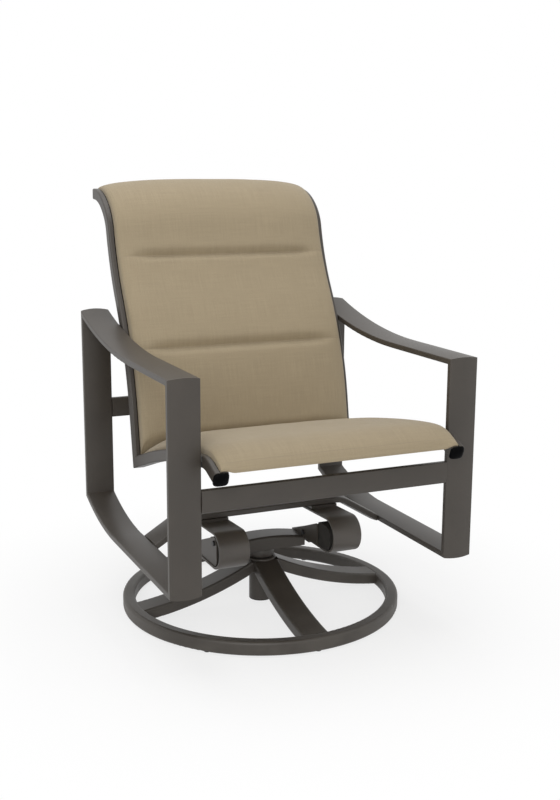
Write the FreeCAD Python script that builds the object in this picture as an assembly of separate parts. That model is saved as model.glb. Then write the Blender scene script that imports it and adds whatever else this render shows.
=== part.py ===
import FreeCAD, Part
import math
import os
from FreeCAD import Vector

# A swivel rocker: a padded sling armchair on two C springs, a swivel yoke and a four-armed ring base.
# Sizes are in millimetres. X runs across the chair, -Y is its front and Z is up from the floor.
# Y is measured from the swivel post here, and the last step moves the middle of the footprint to Y = 0.

# Base
GLIDE_COUNT = 8
GLIDE_HEIGHT = 3.0
GLIDE_HEAD_RADIUS = 7.0
GLIDE_STEM_RADIUS = 3.9
GLIDE_STEM_LENGTH = 8.0
RING_OUTER_RADIUS = 327.0
RING_WIDTH = 28.5
RING_HEIGHT = 32.0
RING_CORNER = 7.0
RING_WALL = 2.5
SPOKE_COUNT = 4
SPOKE_WIDTH = 61.0
SPOKE_THICKNESS = 27.0
SPOKE_CORNER = 5.0
SPOKE_WALL = 2.5
SPOKE_BELOW_RING_TOP = 0.5
SPOKE_SLOPE_AT_HUB = 26.5
SPOKE_SLOPE_AT_RING = 6.3
HUB_RADIUS = 36.0
HUB_BOTTOM = 84.0
HUB_TOP = 117.0
HUB_CORNER = 4.0
POST_RADIUS = 27.5
POST_WALL = 3.5
POST_BOTTOM = 13.0
POST_CAP_THICKNESS = 2.0
POST_CAP_PLUG = 6.0

# Swivel bearing inside the post
SPINDLE_RADIUS = 12.5
SPINDLE_BOSS_RADIUS = 22.0
SPINDLE_END_GAP = 2.0
BUSH_LENGTH = 22.0
BUSH_FLANGE = 2.5
WASHER_THICKNESS = 2.5
CLIP_THICKNESS = 2.5
CLIP_RADIUS = 19.0
GROOVE_OF_CLIP = 2.0

# Yoke
YOKE_WIDTH = 64.0
YOKE_CROWN_TOP = 169.5
YOKE_ARCH_RADIUS = 500.0
YOKE_BOTTOM = 137.0
YOKE_SHEET = 4.0
YOKE_CORNER = 6.0

# Spring brackets, one at each end of the yoke
CHEEK_INNER_X = 97.0
CHEEK_OUTER_X = 171.0
CHEEK_SHEET = 4.0
CHEEK_REAR_Y = 32.0
CHEEK_INNER_FRONT_Y = -103.0
CHEEK_OUTER_FRONT_Y = -150.0
CHEEK_SLOPE = 21.5
CHEEK_REAR_HEIGHT = 1.5
CHEEK_INNER_CORNER = 6.0
CHEEK_OUTER_CORNER = 16.0
CHEEK_OUTER_FOOT = 14.0
BRACKET_FLOOR = 4.0
BUMPER_FRONT_Y = -162.0
BUMPER_LENGTH = 61.0
BUMPER_HEIGHT = 58.0
BUMPER_CORNER = 22.0
BUMPER_FOOT = 25.0

# C springs, flat steel bent about an axis along X
SPRING_WIDTH = 72.0
SPRING_INNER_X = 102.5
SPRING_SHEET = 6.0
SPRING_BEND_RADIUS = 39.0
SPRING_BEND_Y = -137.6
SPRING_LEG_LEVEL = 155.0
SPRING_LOWER_REAR_Y = 18.0
SPRING_UPPER_LENGTH = 140.0
SPRING_UPPER_SLOPE = 2.5
SPRING_PAD_THICKNESS = 6.5
SPRING_PAD_LENGTH = 62.0
SPRING_PAD_INSET = 3.0
SPRING_CLAMP_THICKNESS = 6.0

# Fasteners
BOLT_RADIUS = 4.0
BOLT_HEAD_ACROSS = 13.0
BOLT_HEAD_HEIGHT = 5.3
PIN_RADIUS = 3.0
PIN_HEAD_ACROSS = 11.0
PIN_HEAD_HEIGHT = 4.0
HOLE_CLEARANCE = 0.25
SEAT_GAP = 0.3
SPRING_BOLT_PITCH = 34.0
SPRING_BOLT_INSET = 14.0

# Side frames, each one loop of flat crowned tube
OVERALL_WIDTH = 700.0
TUBE_WIDTH = 68.0
TUBE_THICKNESS = 13.0
TUBE_CROWN = 2.6
TUBE_CORNER = 2.5
TUBE_WALL = 2.0
LEG_FRONT_Y = -357.6
UPRIGHT_REAR_Y = 268.4
RUNNER_BOTTOM = 183.5
RUNNER_LEVEL_END_Y = 35.4
RUNNER_RISE_RADIUS = 600.0
ARM_TOP = 626.5
ARM_LEVEL_END_Y = -104.6
ARM_RISE_RADIUS = 1212.5

# Rails that join the side frames
CROSS_RAIL_HEIGHT = 47.0
FRONT_RAIL_BOTTOM = 355.0
REAR_RAIL_BOTTOM = 424.5

# Arched brace that sits on the springs
BRACE_WIDTH = 83.0
BRACE_FRONT_Y = -57.6
BRACE_UNDERSIDE = 240.0
BRACE_BEND_RADIUS = 60.0
BRACE_SLOPE = 31.0

# Sling rails: a seat rail and a back rail on each side, mitred at the corner
RAIL_TO_FRAME_GAP = 2.0
RAIL_WIDTH = 30.0
RAIL_DEPTH = 26.0
RAIL_CORNER = 4.0
RAIL_WALL = 2.5
GROOVE_OFFSET = 2.0
GROOVE_MOUTH = 3.0
GROOVE_RADIUS = 3.6
GROOVE_DEPTH = 6.8
KEDER_RADIUS = 3.1
SEAT_FRONT_Y = -423.6
SEAT_FRONT_LEVEL = 453.5
SEAT_FRONT_SLOPE = 20.75
SEAT_NOSE_STRAIGHT = 38.3
SEAT_NOSE_RADIUS = 84.2
SEAT_NOSE_TURN = 27.22
SEAT_RADIUS = 1731.0
SEAT_TURN = 12.39
SEAT_REAR_STRAIGHT = 69.8
BACK_STRAIGHT = 93.0
BACK_LEAN = 9.8
BACK_LOWER_RADIUS = 755.0
BACK_LOWER_TURN = 21.4
BACK_UPPER_RADIUS = 522.0
BACK_UPPER_TURN = 18.3
BACK_CURL_RADIUS = 92.0
BACK_CURL_TURN = 25.2
BACK_TOP_RADIUS = 144.0
BACK_TOP_TURN = 51.5
CAP_THICKNESS = 6.0
CAP_ROUNDING = 3.0
CAP_PLUG = 8.0
CAP_PLUG_GAP = 0.3
TOP_CAP_THICKNESS = 2.0
SPREADER_RADIUS = 9.5
SPREADER_WALL = 2.0

# Padded sling
PAD_TO_GROOVE = 4.5
PAD_EDGE_HEIGHT = 7.0
PAD_SHOULDER = 26.0
PAD_FRONT_MARGIN = 2.0
PAD_CHORD_SAG = 0.15
SEAT_PAD_HEIGHTS = ((0.0, 7.0), (16.0, 17.0), (42.0, 20.0), (80.0, 22.0), (240.0, 28.0), (400.0, 38.0))
BACK_PAD_HEIGHTS = ((0.0, 34.0), (150.0, 32.0), (380.0, 30.0), (560.0, 28.0), (640.0, 30.0), (696.0, 20.0))
CREASE_TILT = 26.5

# Values worked out from the ones above
RING_TOP = GLIDE_HEIGHT + RING_HEIGHT
RING_INNER_RADIUS = RING_OUTER_RADIUS - RING_WIDTH
RING_MIDDLE_RADIUS = RING_OUTER_RADIUS - RING_WIDTH / 2
FRAME_INNER_X = OVERALL_WIDTH / 2 - TUBE_WIDTH
FRAME_MIDDLE_X = OVERALL_WIDTH / 2 - TUBE_WIDTH / 2
RAIL_OUTER_X = FRAME_INNER_X - RAIL_TO_FRAME_GAP
RAIL_MIDDLE_X = RAIL_OUTER_X - RAIL_WIDTH / 2
PAD_HALF_WIDTH = RAIL_MIDDLE_X + GROOVE_OFFSET - PAD_TO_GROOVE
RAIL_INNER_X = RAIL_OUTER_X - RAIL_WIDTH
RUNNER_MIDDLE = RUNNER_BOTTOM + TUBE_THICKNESS / 2
ARM_MIDDLE = ARM_TOP - TUBE_THICKNESS / 2
LEG_MIDDLE_Y = LEG_FRONT_Y + TUBE_THICKNESS / 2
UPRIGHT_MIDDLE_Y = UPRIGHT_REAR_Y - TUBE_THICKNESS / 2
SPRING_MIDDLE_X = SPRING_INNER_X + SPRING_WIDTH / 2
SPRING_TOP_LEVEL = SPRING_LEG_LEVEL + 2 * SPRING_BEND_RADIUS
BRACKET_BASE = SPRING_LEG_LEVEL + SPRING_SHEET / 2
REACH = 1000.0


def turned(y, z, degrees):
    """The vector (0, y, z) turned about X."""
    a = math.radians(degrees)
    return Vector(0, y * math.cos(a) - z * math.sin(a), y * math.sin(a) + z * math.cos(a))


def rounded(points, radii):
    """A closed wire through points, with a tangent arc at each corner; a radius of 0 keeps it sharp."""
    edges = []
    ends = []
    count = len(points)
    for i in range(count):
        corner = points[i]
        back = (points[i - 1] - corner).normalize()
        ahead = (points[(i + 1) % count] - corner).normalize()
        radius = radii[i] if isinstance(radii, (list, tuple)) else radii
        if radius <= 0:
            ends.append((corner, None, corner))
            continue
        half = back.getAngle(ahead) / 2
        reach = radius / math.tan(half)
        middle = (back + ahead).normalize()
        centre = corner + middle * (radius / math.sin(half))
        ends.append((corner + back * reach, centre - middle * radius, corner + ahead * reach))
    for i in range(count):
        start, middle, end = ends[i]
        if middle is not None:
            edges.append(Part.Arc(start, middle, end).toShape())
        following = ends[(i + 1) % count][0]
        if end.distanceToPoint(following) > 1e-6:
            edges.append(Part.LineSegment(end, following).toShape())
    return Part.Wire(edges)


def box_section(width, low, high, corner):
    """A face across X from height low to high, for a path that starts along Y."""
    half = width / 2
    corners = [Vector(-half, 0, low), Vector(half, 0, low), Vector(half, 0, high), Vector(-half, 0, high)]
    return Part.Face(rounded(corners, corner))


def oval_section(width, thickness, crown, corner):
    """A flat tube's outline: straight sides and a shallow arch on both broad faces."""
    a = width / 2
    b = thickness / 2
    nick = 0.3 * corner
    edges = []
    for sign in (1, -1):
        side = Vector(sign * a, 0, sign * (b - corner))
        bend = Vector(sign * (a - nick), 0, sign * (b - nick))
        shoulder = Vector(sign * (a - corner), 0, sign * b)
        far = Vector(-sign * (a - corner), 0, sign * b)
        far_bend = Vector(-sign * (a - nick), 0, sign * (b - nick))
        far_side = Vector(-sign * a, 0, sign * (b - corner))
        edges.append(Part.Arc(side, bend, shoulder).toShape())
        edges.append(Part.Arc(shoulder, Vector(0, 0, sign * (b + crown)), far).toShape())
        edges.append(Part.Arc(far, far_bend, far_side).toShape())
        edges.append(Part.LineSegment(far_side, Vector(-sign * a, 0, -sign * (b - corner))).toShape())
    return Part.Face(Part.Wire(edges))


def walk(start, heading, runs):
    """Points and headings where each run of a path in the YZ plane begins, and where the last one ends.

    A run is (length, 0) for a straight or (radius, turn) for a bend, and a positive turn lifts the path.
    """
    stations = [(start, heading)]
    place = start
    for size, turn in runs:
        if turn == 0:
            place = place + turned(size, 0, heading)
        else:
            centre = place + turned(0, math.copysign(size, turn), heading)
            heading = heading + turn
            place = centre - turned(0, math.copysign(size, turn), heading)
        stations.append((place, heading))
    return stations


def carried(section, start, heading, runs):
    """One solid: a section carried along straights and bends in the YZ plane."""
    stations = walk(start, heading, runs)
    pieces = []
    for (place, angle), (size, turn) in zip(stations, runs):
        face = section.copy()
        face.rotate(Vector(0, 0, 0), Vector(1, 0, 0), angle)
        face.translate(place)
        if turn == 0:
            pieces.append(face.extrude(turned(size, 0, angle)))
        else:
            centre = place + turned(0, math.copysign(size, turn), angle)
            pieces.append(face.revolve(centre, Vector(math.copysign(1, turn), 0, 0), abs(turn)))
    return joined(pieces)


def joined(pieces):
    """The pieces as one solid, with faces merged where they run on."""
    if len(pieces) == 1:
        return pieces[0]
    return pieces[0].fuse(pieces[1:]).removeSplitter()


def kept_before(shape, place, normal):
    """What is left of shape on the near side of a plane, seen along its normal."""
    tool = Part.makeBox(REACH, REACH, REACH, Vector(-REACH / 2, -REACH / 2, 0))
    tool.Placement = FreeCAD.Placement(place, FreeCAD.Rotation(Vector(0, 0, 1), normal))
    return shape.cut(tool)


def moved(shape, x=0.0, y=0.0, z=0.0):
    """A copy of shape at another place."""
    copy = shape.copy()
    copy.translate(Vector(x, y, z))
    return copy


def mirrored(shape):
    """The same piece for the other side of the chair."""
    return shape.mirror(Vector(0, 0, 0), Vector(1, 0, 0))


def disc(radius, low, high, x=0.0, y=0.0):
    """An upright cylinder between two heights."""
    return Part.makeCylinder(radius, high - low, Vector(x, y, low))


def cross_rod(radius, x_low, x_high, y, z):
    """A cylinder along X."""
    return Part.makeCylinder(radius, x_high - x_low, Vector(x_low, y, z), Vector(1, 0, 0))


def hexagon(across, foot, lift):
    """A six-sided prism from its foot along lift, with two flats square to Y."""
    radius = across / math.sqrt(3)
    turns = [math.radians(60 * i) for i in range(6)]
    corners = [Vector(radius * math.cos(t), radius * math.sin(t), 0) for t in turns]
    prism = Part.Face(Part.makePolygon(corners + corners[:1])).extrude(Vector(0, 0, lift.Length))
    prism.Placement = FreeCAD.Placement(foot, FreeCAD.Rotation(Vector(0, 0, 1), lift))
    return prism


def cross_bolt(x_head, x_end, y, z):
    """A hexagon-headed bolt along X, with the underside of its head at x_head."""
    side = math.copysign(1, x_head - x_end)
    head = hexagon(PIN_HEAD_ACROSS, Vector(x_head, y, z), Vector(side * PIN_HEAD_HEIGHT, 0, 0))
    shank = cross_rod(PIN_RADIUS, min(x_head, x_end), max(x_head, x_end), y, z)
    return head.fuse(shank).removeSplitter()


# Base


def glide_angles():
    """Directions of the glides, in degrees."""
    return [360.0 / GLIDE_COUNT * i for i in range(GLIDE_COUNT)]


def ring_section(inset):
    """The ring's outline at its radius, shrunk by inset on every side."""
    low = GLIDE_HEIGHT + inset
    high = RING_TOP - inset
    near = RING_INNER_RADIUS + inset
    far = RING_OUTER_RADIUS - inset
    corners = [Vector(near, 0, low), Vector(far, 0, low), Vector(far, 0, high), Vector(near, 0, high)]
    return Part.Face(rounded(corners, RING_CORNER - inset))


def hoop(inset):
    """The ring as a solid, shrunk by inset."""
    return ring_section(inset).revolve(Vector(0, 0, 0), Vector(0, 0, 1), 360)


def base_ring():
    """A rolled hoop of hollow tube, drilled underneath for the glides."""
    axis = Vector(0, 0, 1)
    ring = hoop(0).cut(hoop(RING_WALL))
    for angle in glide_angles():
        hole = disc(GLIDE_STEM_RADIUS + HOLE_CLEARANCE, 0, RING_TOP / 2, RING_MIDDLE_RADIUS)
        hole.rotate(Vector(0, 0, 0), axis, angle)
        ring = ring.cut(hole)
    return ring


def glides():
    """Nylon buttons with stems pushed into the ring."""
    profile = [
        Vector(0, 0, 0),
        Vector(GLIDE_HEAD_RADIUS, 0, 0),
        Vector(GLIDE_HEAD_RADIUS, 0, GLIDE_HEIGHT),
        Vector(GLIDE_STEM_RADIUS, 0, GLIDE_HEIGHT),
        Vector(GLIDE_STEM_RADIUS, 0, GLIDE_HEIGHT + GLIDE_STEM_LENGTH),
        Vector(0, 0, GLIDE_HEIGHT + GLIDE_STEM_LENGTH),
    ]
    face = Part.Face(rounded(profile, [0, GLIDE_HEIGHT / 3, 0, 0, 0, 0]))
    glide = face.revolve(Vector(0, 0, 0), Vector(0, 0, 1), 360)
    copies = []
    for angle in glide_angles():
        copy = moved(glide, RING_MIDDLE_RADIUS)
        copy.rotate(Vector(0, 0, 0), Vector(0, 0, 1), angle)
        copies.append(copy)
    return Part.makeCompound(copies)


def spoke():
    """A flat arm that sweeps down from the hub and levels out at the ring, here along +Y."""
    half = SPOKE_THICKNESS / 2
    fall = SPOKE_SLOPE_AT_HUB - SPOKE_SLOPE_AT_RING
    middle_slope = math.radians((SPOKE_SLOPE_AT_HUB + SPOKE_SLOPE_AT_RING) / 2)
    chord = (RING_INNER_RADIUS - POST_RADIUS) / math.cos(middle_slope)
    radius = chord / (2 * math.sin(math.radians(fall / 2)))
    end_level = RING_TOP - SPOKE_BELOW_RING_TOP - half / math.cos(math.radians(SPOKE_SLOPE_AT_RING))
    start = Vector(0, POST_RADIUS, end_level + chord * math.sin(middle_slope))
    runs = [(radius, fall), (RING_WIDTH / 2, 0)]
    outer = box_section(SPOKE_WIDTH, -half, half, SPOKE_CORNER)
    inner = box_section(SPOKE_WIDTH - 2 * SPOKE_WALL, SPOKE_WALL - half, half - SPOKE_WALL, SPOKE_CORNER / 2)
    arm = carried(outer, start, -SPOKE_SLOPE_AT_HUB, runs)
    arm = arm.cut(carried(inner, start, -SPOKE_SLOPE_AT_HUB, runs))
    arm = arm.common(disc(RING_INNER_RADIUS + RING_CORNER, 0, HUB_TOP * 2)).cut(hoop(0))
    arm = arm.cut(disc(HUB_RADIUS, 0, HUB_TOP * 2))
    for side in (1, -1):
        arm = kept_before(arm, Vector(0, 0, 0), Vector(side, -1, 0))
    return arm


def base_spokes():
    """The arms, each welded between the hub and the ring."""
    names = ("rear", "left", "front", "right")
    arm = spoke()
    arms = {}
    for i in range(SPOKE_COUNT):
        copy = arm.copy()
        copy.rotate(Vector(0, 0, 0), Vector(0, 0, 1), 360.0 / SPOKE_COUNT * i)
        arms["base_spoke_" + names[i % len(names)]] = copy
    return arms


def base_hub():
    """The turned collar that the arms are welded to."""
    profile = [
        Vector(POST_RADIUS, 0, HUB_BOTTOM),
        Vector(HUB_RADIUS, 0, HUB_BOTTOM),
        Vector(HUB_RADIUS, 0, HUB_TOP),
        Vector(POST_RADIUS, 0, HUB_TOP),
    ]
    face = Part.Face(rounded(profile, [0, HUB_CORNER, HUB_CORNER, 0]))
    return face.revolve(Vector(0, 0, 0), Vector(0, 0, 1), 360)


def centre_post():
    """The tube that holds the swivel's bushes."""
    return disc(POST_RADIUS, POST_BOTTOM, HUB_TOP).cut(disc(POST_RADIUS - POST_WALL, POST_BOTTOM, HUB_TOP))


def post_cap():
    """The plug in the post's lower end."""
    top = POST_BOTTOM
    plug = disc(POST_RADIUS - POST_WALL - HOLE_CLEARANCE, top, top + POST_CAP_PLUG)
    return disc(POST_RADIUS, top - POST_CAP_THICKNESS, top).fuse(plug).removeSplitter()


# Swivel bearing

CLIP_BOTTOM = POST_BOTTOM + POST_CAP_PLUG + SPINDLE_END_GAP + CLIP_THICKNESS
LOWER_BUSH_BOTTOM = CLIP_BOTTOM + CLIP_THICKNESS + SEAT_GAP
WASHER_BOTTOM = HUB_TOP + BUSH_FLANGE
BOSS_BOTTOM = WASHER_BOTTOM + WASHER_THICKNESS + SEAT_GAP
BUSH_RUNNING_FIT = 0.05


def bush(low, high):
    """A plain bush that fills the post and carries the spindle."""
    body = disc(POST_RADIUS - POST_WALL - BUSH_RUNNING_FIT, low, high)
    return body.cut(disc(SPINDLE_RADIUS + BUSH_RUNNING_FIT, low, high))


def upper_bush():
    """The flanged bush at the post's mouth."""
    low = HUB_TOP - BUSH_LENGTH
    flange = disc(POST_RADIUS, HUB_TOP, WASHER_BOTTOM)
    flange = flange.cut(disc(SPINDLE_RADIUS + BUSH_RUNNING_FIT, HUB_TOP, WASHER_BOTTOM))
    return bush(low, HUB_TOP).fuse(flange).removeSplitter()


def lower_bush():
    """The bush at the post's foot."""
    return bush(LOWER_BUSH_BOTTOM, LOWER_BUSH_BOTTOM + BUSH_LENGTH)


def thrust_washer():
    """The steel washer that takes the chair's weight."""
    outer = disc(POST_RADIUS - 1.0, WASHER_BOTTOM, WASHER_BOTTOM + WASHER_THICKNESS)
    return outer.cut(disc(SPINDLE_RADIUS + HOLE_CLEARANCE, 0, HUB_TOP * 2))


def yoke_arch(radius_change):
    """The round arch of the yoke's top, as a long cylinder along Y."""
    radius = YOKE_ARCH_RADIUS - radius_change
    centre = YOKE_CROWN_TOP - YOKE_ARCH_RADIUS
    return Part.makeCylinder(radius, 2 * YOKE_WIDTH, Vector(0, -YOKE_WIDTH, centre), Vector(0, 1, 0))


def spindle():
    """The shaft under the yoke, with its shoulder and the groove for the clip."""
    shaft = disc(SPINDLE_RADIUS, CLIP_BOTTOM - CLIP_THICKNESS, BOSS_BOTTOM)
    low = CLIP_BOTTOM
    high = CLIP_BOTTOM + CLIP_THICKNESS
    groove = disc(SPINDLE_RADIUS + 1, low, high).cut(disc(SPINDLE_RADIUS - GROOVE_OF_CLIP, low, high))
    boss = disc(SPINDLE_BOSS_RADIUS, BOSS_BOTTOM, YOKE_CROWN_TOP).common(yoke_arch(YOKE_SHEET))
    return joined([shaft.cut(groove), boss])


def spindle_clip():
    """The ring that keeps the spindle in its bushes."""
    ring = disc(CLIP_RADIUS, CLIP_BOTTOM, CLIP_BOTTOM + CLIP_THICKNESS)
    hole = SPINDLE_RADIUS - GROOVE_OF_CLIP + BUSH_RUNNING_FIT
    return ring.cut(disc(hole, CLIP_BOTTOM, CLIP_BOTTOM + CLIP_THICKNESS))


# Yoke, brackets and springs


def yoke_block(inset):
    """The yoke's round-shouldered bar, shrunk by inset at its sides and top and far too deep below."""
    half = YOKE_WIDTH / 2 - inset
    top = YOKE_CROWN_TOP - inset
    bottom = YOKE_BOTTOM - YOKE_WIDTH / 2
    corner = YOKE_CORNER - inset
    outline = [Vector(0, -half, bottom), Vector(0, half, bottom), Vector(0, half, top), Vector(0, -half, top)]
    face = Part.Face(rounded(outline, [0, 0, corner, corner]))
    centre = Vector(0, 0, YOKE_CROWN_TOP - YOKE_ARCH_RADIUS)
    axis = Vector(0, 1, 0)
    swing = 1.2 * math.degrees(CHEEK_INNER_X / YOKE_ARCH_RADIUS)
    face.rotate(centre, axis, -swing)
    return face.revolve(centre, axis, 2 * swing)


def yoke():
    """A bar of folded sheet, arched on top and open underneath."""
    bar = yoke_block(0).cut(yoke_block(YOKE_SHEET))
    length = 2 * CHEEK_INNER_X
    room = Part.makeBox(length, YOKE_WIDTH, YOKE_WIDTH, Vector(-CHEEK_INNER_X, -YOKE_WIDTH / 2, YOKE_BOTTOM))
    return bar.common(room)


def cheek(front_y, corner, foot, skirt):
    """A side plate in the YZ plane: corner and foot round its front, skirt hangs it beside the yoke's end."""
    rise = math.tan(math.radians(CHEEK_SLOPE))
    rear_top = BRACKET_BASE + CHEEK_REAR_HEIGHT
    front_top = rear_top + (CHEEK_REAR_Y - front_y) * rise
    points = [Vector(0, CHEEK_REAR_Y, rear_top), Vector(0, front_y, front_top)]
    points.append(Vector(0, front_y, BRACKET_BASE))
    radii = [0, corner, foot]
    if skirt:
        points.append(Vector(0, -YOKE_WIDTH / 2, BRACKET_BASE))
        points.append(Vector(0, -YOKE_WIDTH / 2, BRACKET_BASE - skirt))
        points.append(Vector(0, CHEEK_REAR_Y, BRACKET_BASE - skirt))
        radii = radii + [0, 0, 0]
    else:
        points.append(Vector(0, CHEEK_REAR_Y, BRACKET_BASE))
        radii.append(0)
    return Part.Face(rounded(points, radii)).extrude(Vector(CHEEK_SHEET, 0, 0))


def pin_places():
    """Where the pins cross the cheeks: (y, z) of the front one and of the rear one."""
    rise = math.tan(math.radians(CHEEK_SLOPE))
    places = []
    for y in (CHEEK_OUTER_FRONT_Y + 1.3 * PIN_HEAD_ACROSS, -YOKE_WIDTH / 2):
        top = BRACKET_BASE + CHEEK_REAR_HEIGHT + (CHEEK_REAR_Y - y) * rise
        places.append((y, top - 1.4 * PIN_HEAD_ACROSS))
    return places


def lower_bolt_places():
    """Centres of the bolts through a spring's lower leg."""
    rear = SPRING_LOWER_REAR_Y - SPRING_BOLT_INSET
    return [(SPRING_MIDDLE_X, rear - SPRING_BOLT_PITCH), (SPRING_MIDDLE_X, rear)]


def spring_bracket():
    """The folded seat of one spring: a floor and two cheeks, on the chair's right side."""
    inner = cheek(CHEEK_INNER_FRONT_Y, CHEEK_INNER_CORNER, 0, BRACKET_BASE - YOKE_BOTTOM)
    inner = moved(inner, CHEEK_INNER_X)
    outer = cheek(CHEEK_OUTER_FRONT_Y, CHEEK_OUTER_CORNER, CHEEK_OUTER_FOOT, 0)
    outer = moved(outer, CHEEK_OUTER_X - CHEEK_SHEET)
    across = CHEEK_OUTER_X - CHEEK_INNER_X
    along = CHEEK_REAR_Y - CHEEK_INNER_FRONT_Y
    corner = Vector(CHEEK_INNER_X, CHEEK_INNER_FRONT_Y, BRACKET_BASE)
    floor = Part.makeBox(across, along, BRACKET_FLOOR, corner)
    bracket = joined([floor, inner, outer])
    for x, y in lower_bolt_places():
        bracket = bracket.cut(disc(BOLT_RADIUS + HOLE_CLEARANCE, 0, REACH, x, y))
    front, rear = pin_places()
    for y, z, low, high in ((*front, SPRING_MIDDLE_X, REACH), (*rear, 0, SPRING_MIDDLE_X)):
        bracket = bracket.cut(cross_rod(PIN_RADIUS + HOLE_CLEARANCE, low, high, y, z))
    return bracket


def spring_bumper():
    """The rubber block between the cheeks that cushions the end of the rocking."""
    low = BRACKET_BASE + SEAT_GAP
    front = BUMPER_FRONT_Y
    rear = front + BUMPER_LENGTH
    step = CHEEK_INNER_FRONT_Y
    floor_top = BRACKET_BASE + BRACKET_FLOOR + SEAT_GAP
    points = [
        Vector(0, front, low),
        Vector(0, step - SEAT_GAP, low),
        Vector(0, step - SEAT_GAP, floor_top),
        Vector(0, rear, floor_top),
        Vector(0, rear, low + BUMPER_HEIGHT),
        Vector(0, front, low + BUMPER_HEIGHT),
    ]
    radii = [BUMPER_FOOT, 0, 0, 3, 8, BUMPER_CORNER]
    left = CHEEK_INNER_X + CHEEK_SHEET + SEAT_GAP
    right = CHEEK_OUTER_X - CHEEK_SHEET - SEAT_GAP
    block = Part.Face(rounded(points, radii)).extrude(Vector(right - left, 0, 0))
    front_pin = pin_places()[0]
    hole = cross_rod(PIN_RADIUS + HOLE_CLEARANCE, SPRING_MIDDLE_X, REACH, *front_pin)
    return moved(block, left).cut(hole)


def bracket_pins():
    """Hexagon-headed screws: through each outer cheek into its bumper, and through each inner cheek."""
    front, rear = pin_places()
    outer = cross_bolt(CHEEK_OUTER_X, CHEEK_OUTER_X - 6 * PIN_HEAD_HEIGHT, *front)
    inner = cross_bolt(CHEEK_INNER_X, CHEEK_INNER_X + 2 * CHEEK_SHEET, *rear)
    return Part.makeCompound([outer, inner, mirrored(outer), mirrored(inner)])


def spring_runs():
    """The C spring's middle line, from the rear of its lower leg."""
    level = SPRING_LOWER_REAR_Y - SPRING_BEND_Y
    turn = -(180.0 + SPRING_UPPER_SLOPE)
    return [(level, 0), (SPRING_BEND_RADIUS, turn), (SPRING_UPPER_LENGTH, 0)]


def upper_station():
    """Where the spring's upper leg begins after the bend, and its heading."""
    start = Vector(0, SPRING_LOWER_REAR_Y, SPRING_LEG_LEVEL)
    return walk(start, 180.0, spring_runs())[2]


def along_upper(distance, height):
    """A point of the upper leg: so far behind the bend, and so high over its middle plane."""
    place, heading = upper_station()
    return place + turned(distance, height, heading)


def upper_bolt_distances():
    """How far behind the bend the bolts of the upper leg stand."""
    middle = SPRING_UPPER_LENGTH - SPRING_PAD_LENGTH / 2
    return (middle - SPRING_BOLT_PITCH / 2, middle + SPRING_BOLT_PITCH / 2)


def upper_bolt(radius, low, high, distance, x):
    """A cylinder square to the upper leg, between two heights over its middle plane."""
    foot = along_upper(distance, low)
    lift = along_upper(distance, high) - foot
    return Part.makeCylinder(radius, high - low, foot + Vector(x, 0, 0), lift)


def c_spring():
    """A flat steel strip bent into a C that is open to the rear."""
    half = SPRING_SHEET / 2
    section = box_section(SPRING_WIDTH, -half, half, 0)
    start = Vector(SPRING_MIDDLE_X, SPRING_LOWER_REAR_Y, SPRING_LEG_LEVEL)
    spring = carried(section, start, 180.0, spring_runs())
    for x, y in lower_bolt_places():
        spring = spring.cut(disc(BOLT_RADIUS + HOLE_CLEARANCE, 0, SPRING_LEG_LEVEL + SPRING_SHEET, x, y))
    for distance in upper_bolt_distances():
        radius = BOLT_RADIUS + HOLE_CLEARANCE
        hole = upper_bolt(radius, -SPRING_SHEET, SPRING_SHEET, distance, SPRING_MIDDLE_X)
        spring = spring.cut(hole)
    return spring


def spring_pad():
    """The spacer between a spring's upper leg and the arched brace."""
    low = SPRING_SHEET / 2
    section = box_section(SPRING_WIDTH - 2 * SPRING_PAD_INSET, low, low + SPRING_PAD_THICKNESS, 0)
    place, heading = upper_station()
    start = along_upper(SPRING_UPPER_LENGTH - SPRING_PAD_LENGTH, 0) + Vector(SPRING_MIDDLE_X, 0, 0)
    pad = carried(section, start, heading, [(SPRING_PAD_LENGTH, 0)])
    for distance in upper_bolt_distances():
        hole = upper_bolt(BOLT_RADIUS + HOLE_CLEARANCE, 0, REACH / 10, distance, SPRING_MIDDLE_X)
        pad = pad.cut(hole)
    return pad


def spring_clamp():
    """The plate under a spring's lower leg that the bolts pull against."""
    bottom = SPRING_LEG_LEVEL - SPRING_SHEET / 2 - SPRING_CLAMP_THICKNESS
    width = SPRING_WIDTH - 2 * SPRING_PAD_INSET
    length = SPRING_BOLT_PITCH + 2 * SPRING_BOLT_INSET
    corner = Vector(SPRING_MIDDLE_X - width / 2, SPRING_LOWER_REAR_Y - length, bottom)
    plate = Part.makeBox(width, length, SPRING_CLAMP_THICKNESS, corner)
    for x, y in lower_bolt_places():
        plate = plate.cut(disc(BOLT_RADIUS + HOLE_CLEARANCE, 0, REACH, x, y))
    return plate


def lower_spring_bolts():
    """Bolts up through each clamp, lower leg and bracket floor, with their nuts."""
    parts = []
    up = Vector(0, 0, 1)
    bottom = SPRING_LEG_LEVEL - SPRING_SHEET / 2 - SPRING_CLAMP_THICKNESS
    top = BRACKET_BASE + BRACKET_FLOOR
    for x, y in lower_bolt_places():
        head = hexagon(BOLT_HEAD_ACROSS, Vector(x, y, bottom - BOLT_HEAD_HEIGHT), up * BOLT_HEAD_HEIGHT)
        shank = disc(BOLT_RADIUS, bottom, top + BOLT_HEAD_HEIGHT + 1, x, y)
        nut = hexagon(BOLT_HEAD_ACROSS, Vector(x, y, top), up * BOLT_HEAD_HEIGHT)
        nut = nut.cut(disc(BOLT_RADIUS + BUSH_RUNNING_FIT, 0, REACH, x, y))
        parts.append(head.fuse(shank).removeSplitter())
        parts.append(nut)
    return Part.makeCompound(parts + [mirrored(p) for p in parts])


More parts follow.
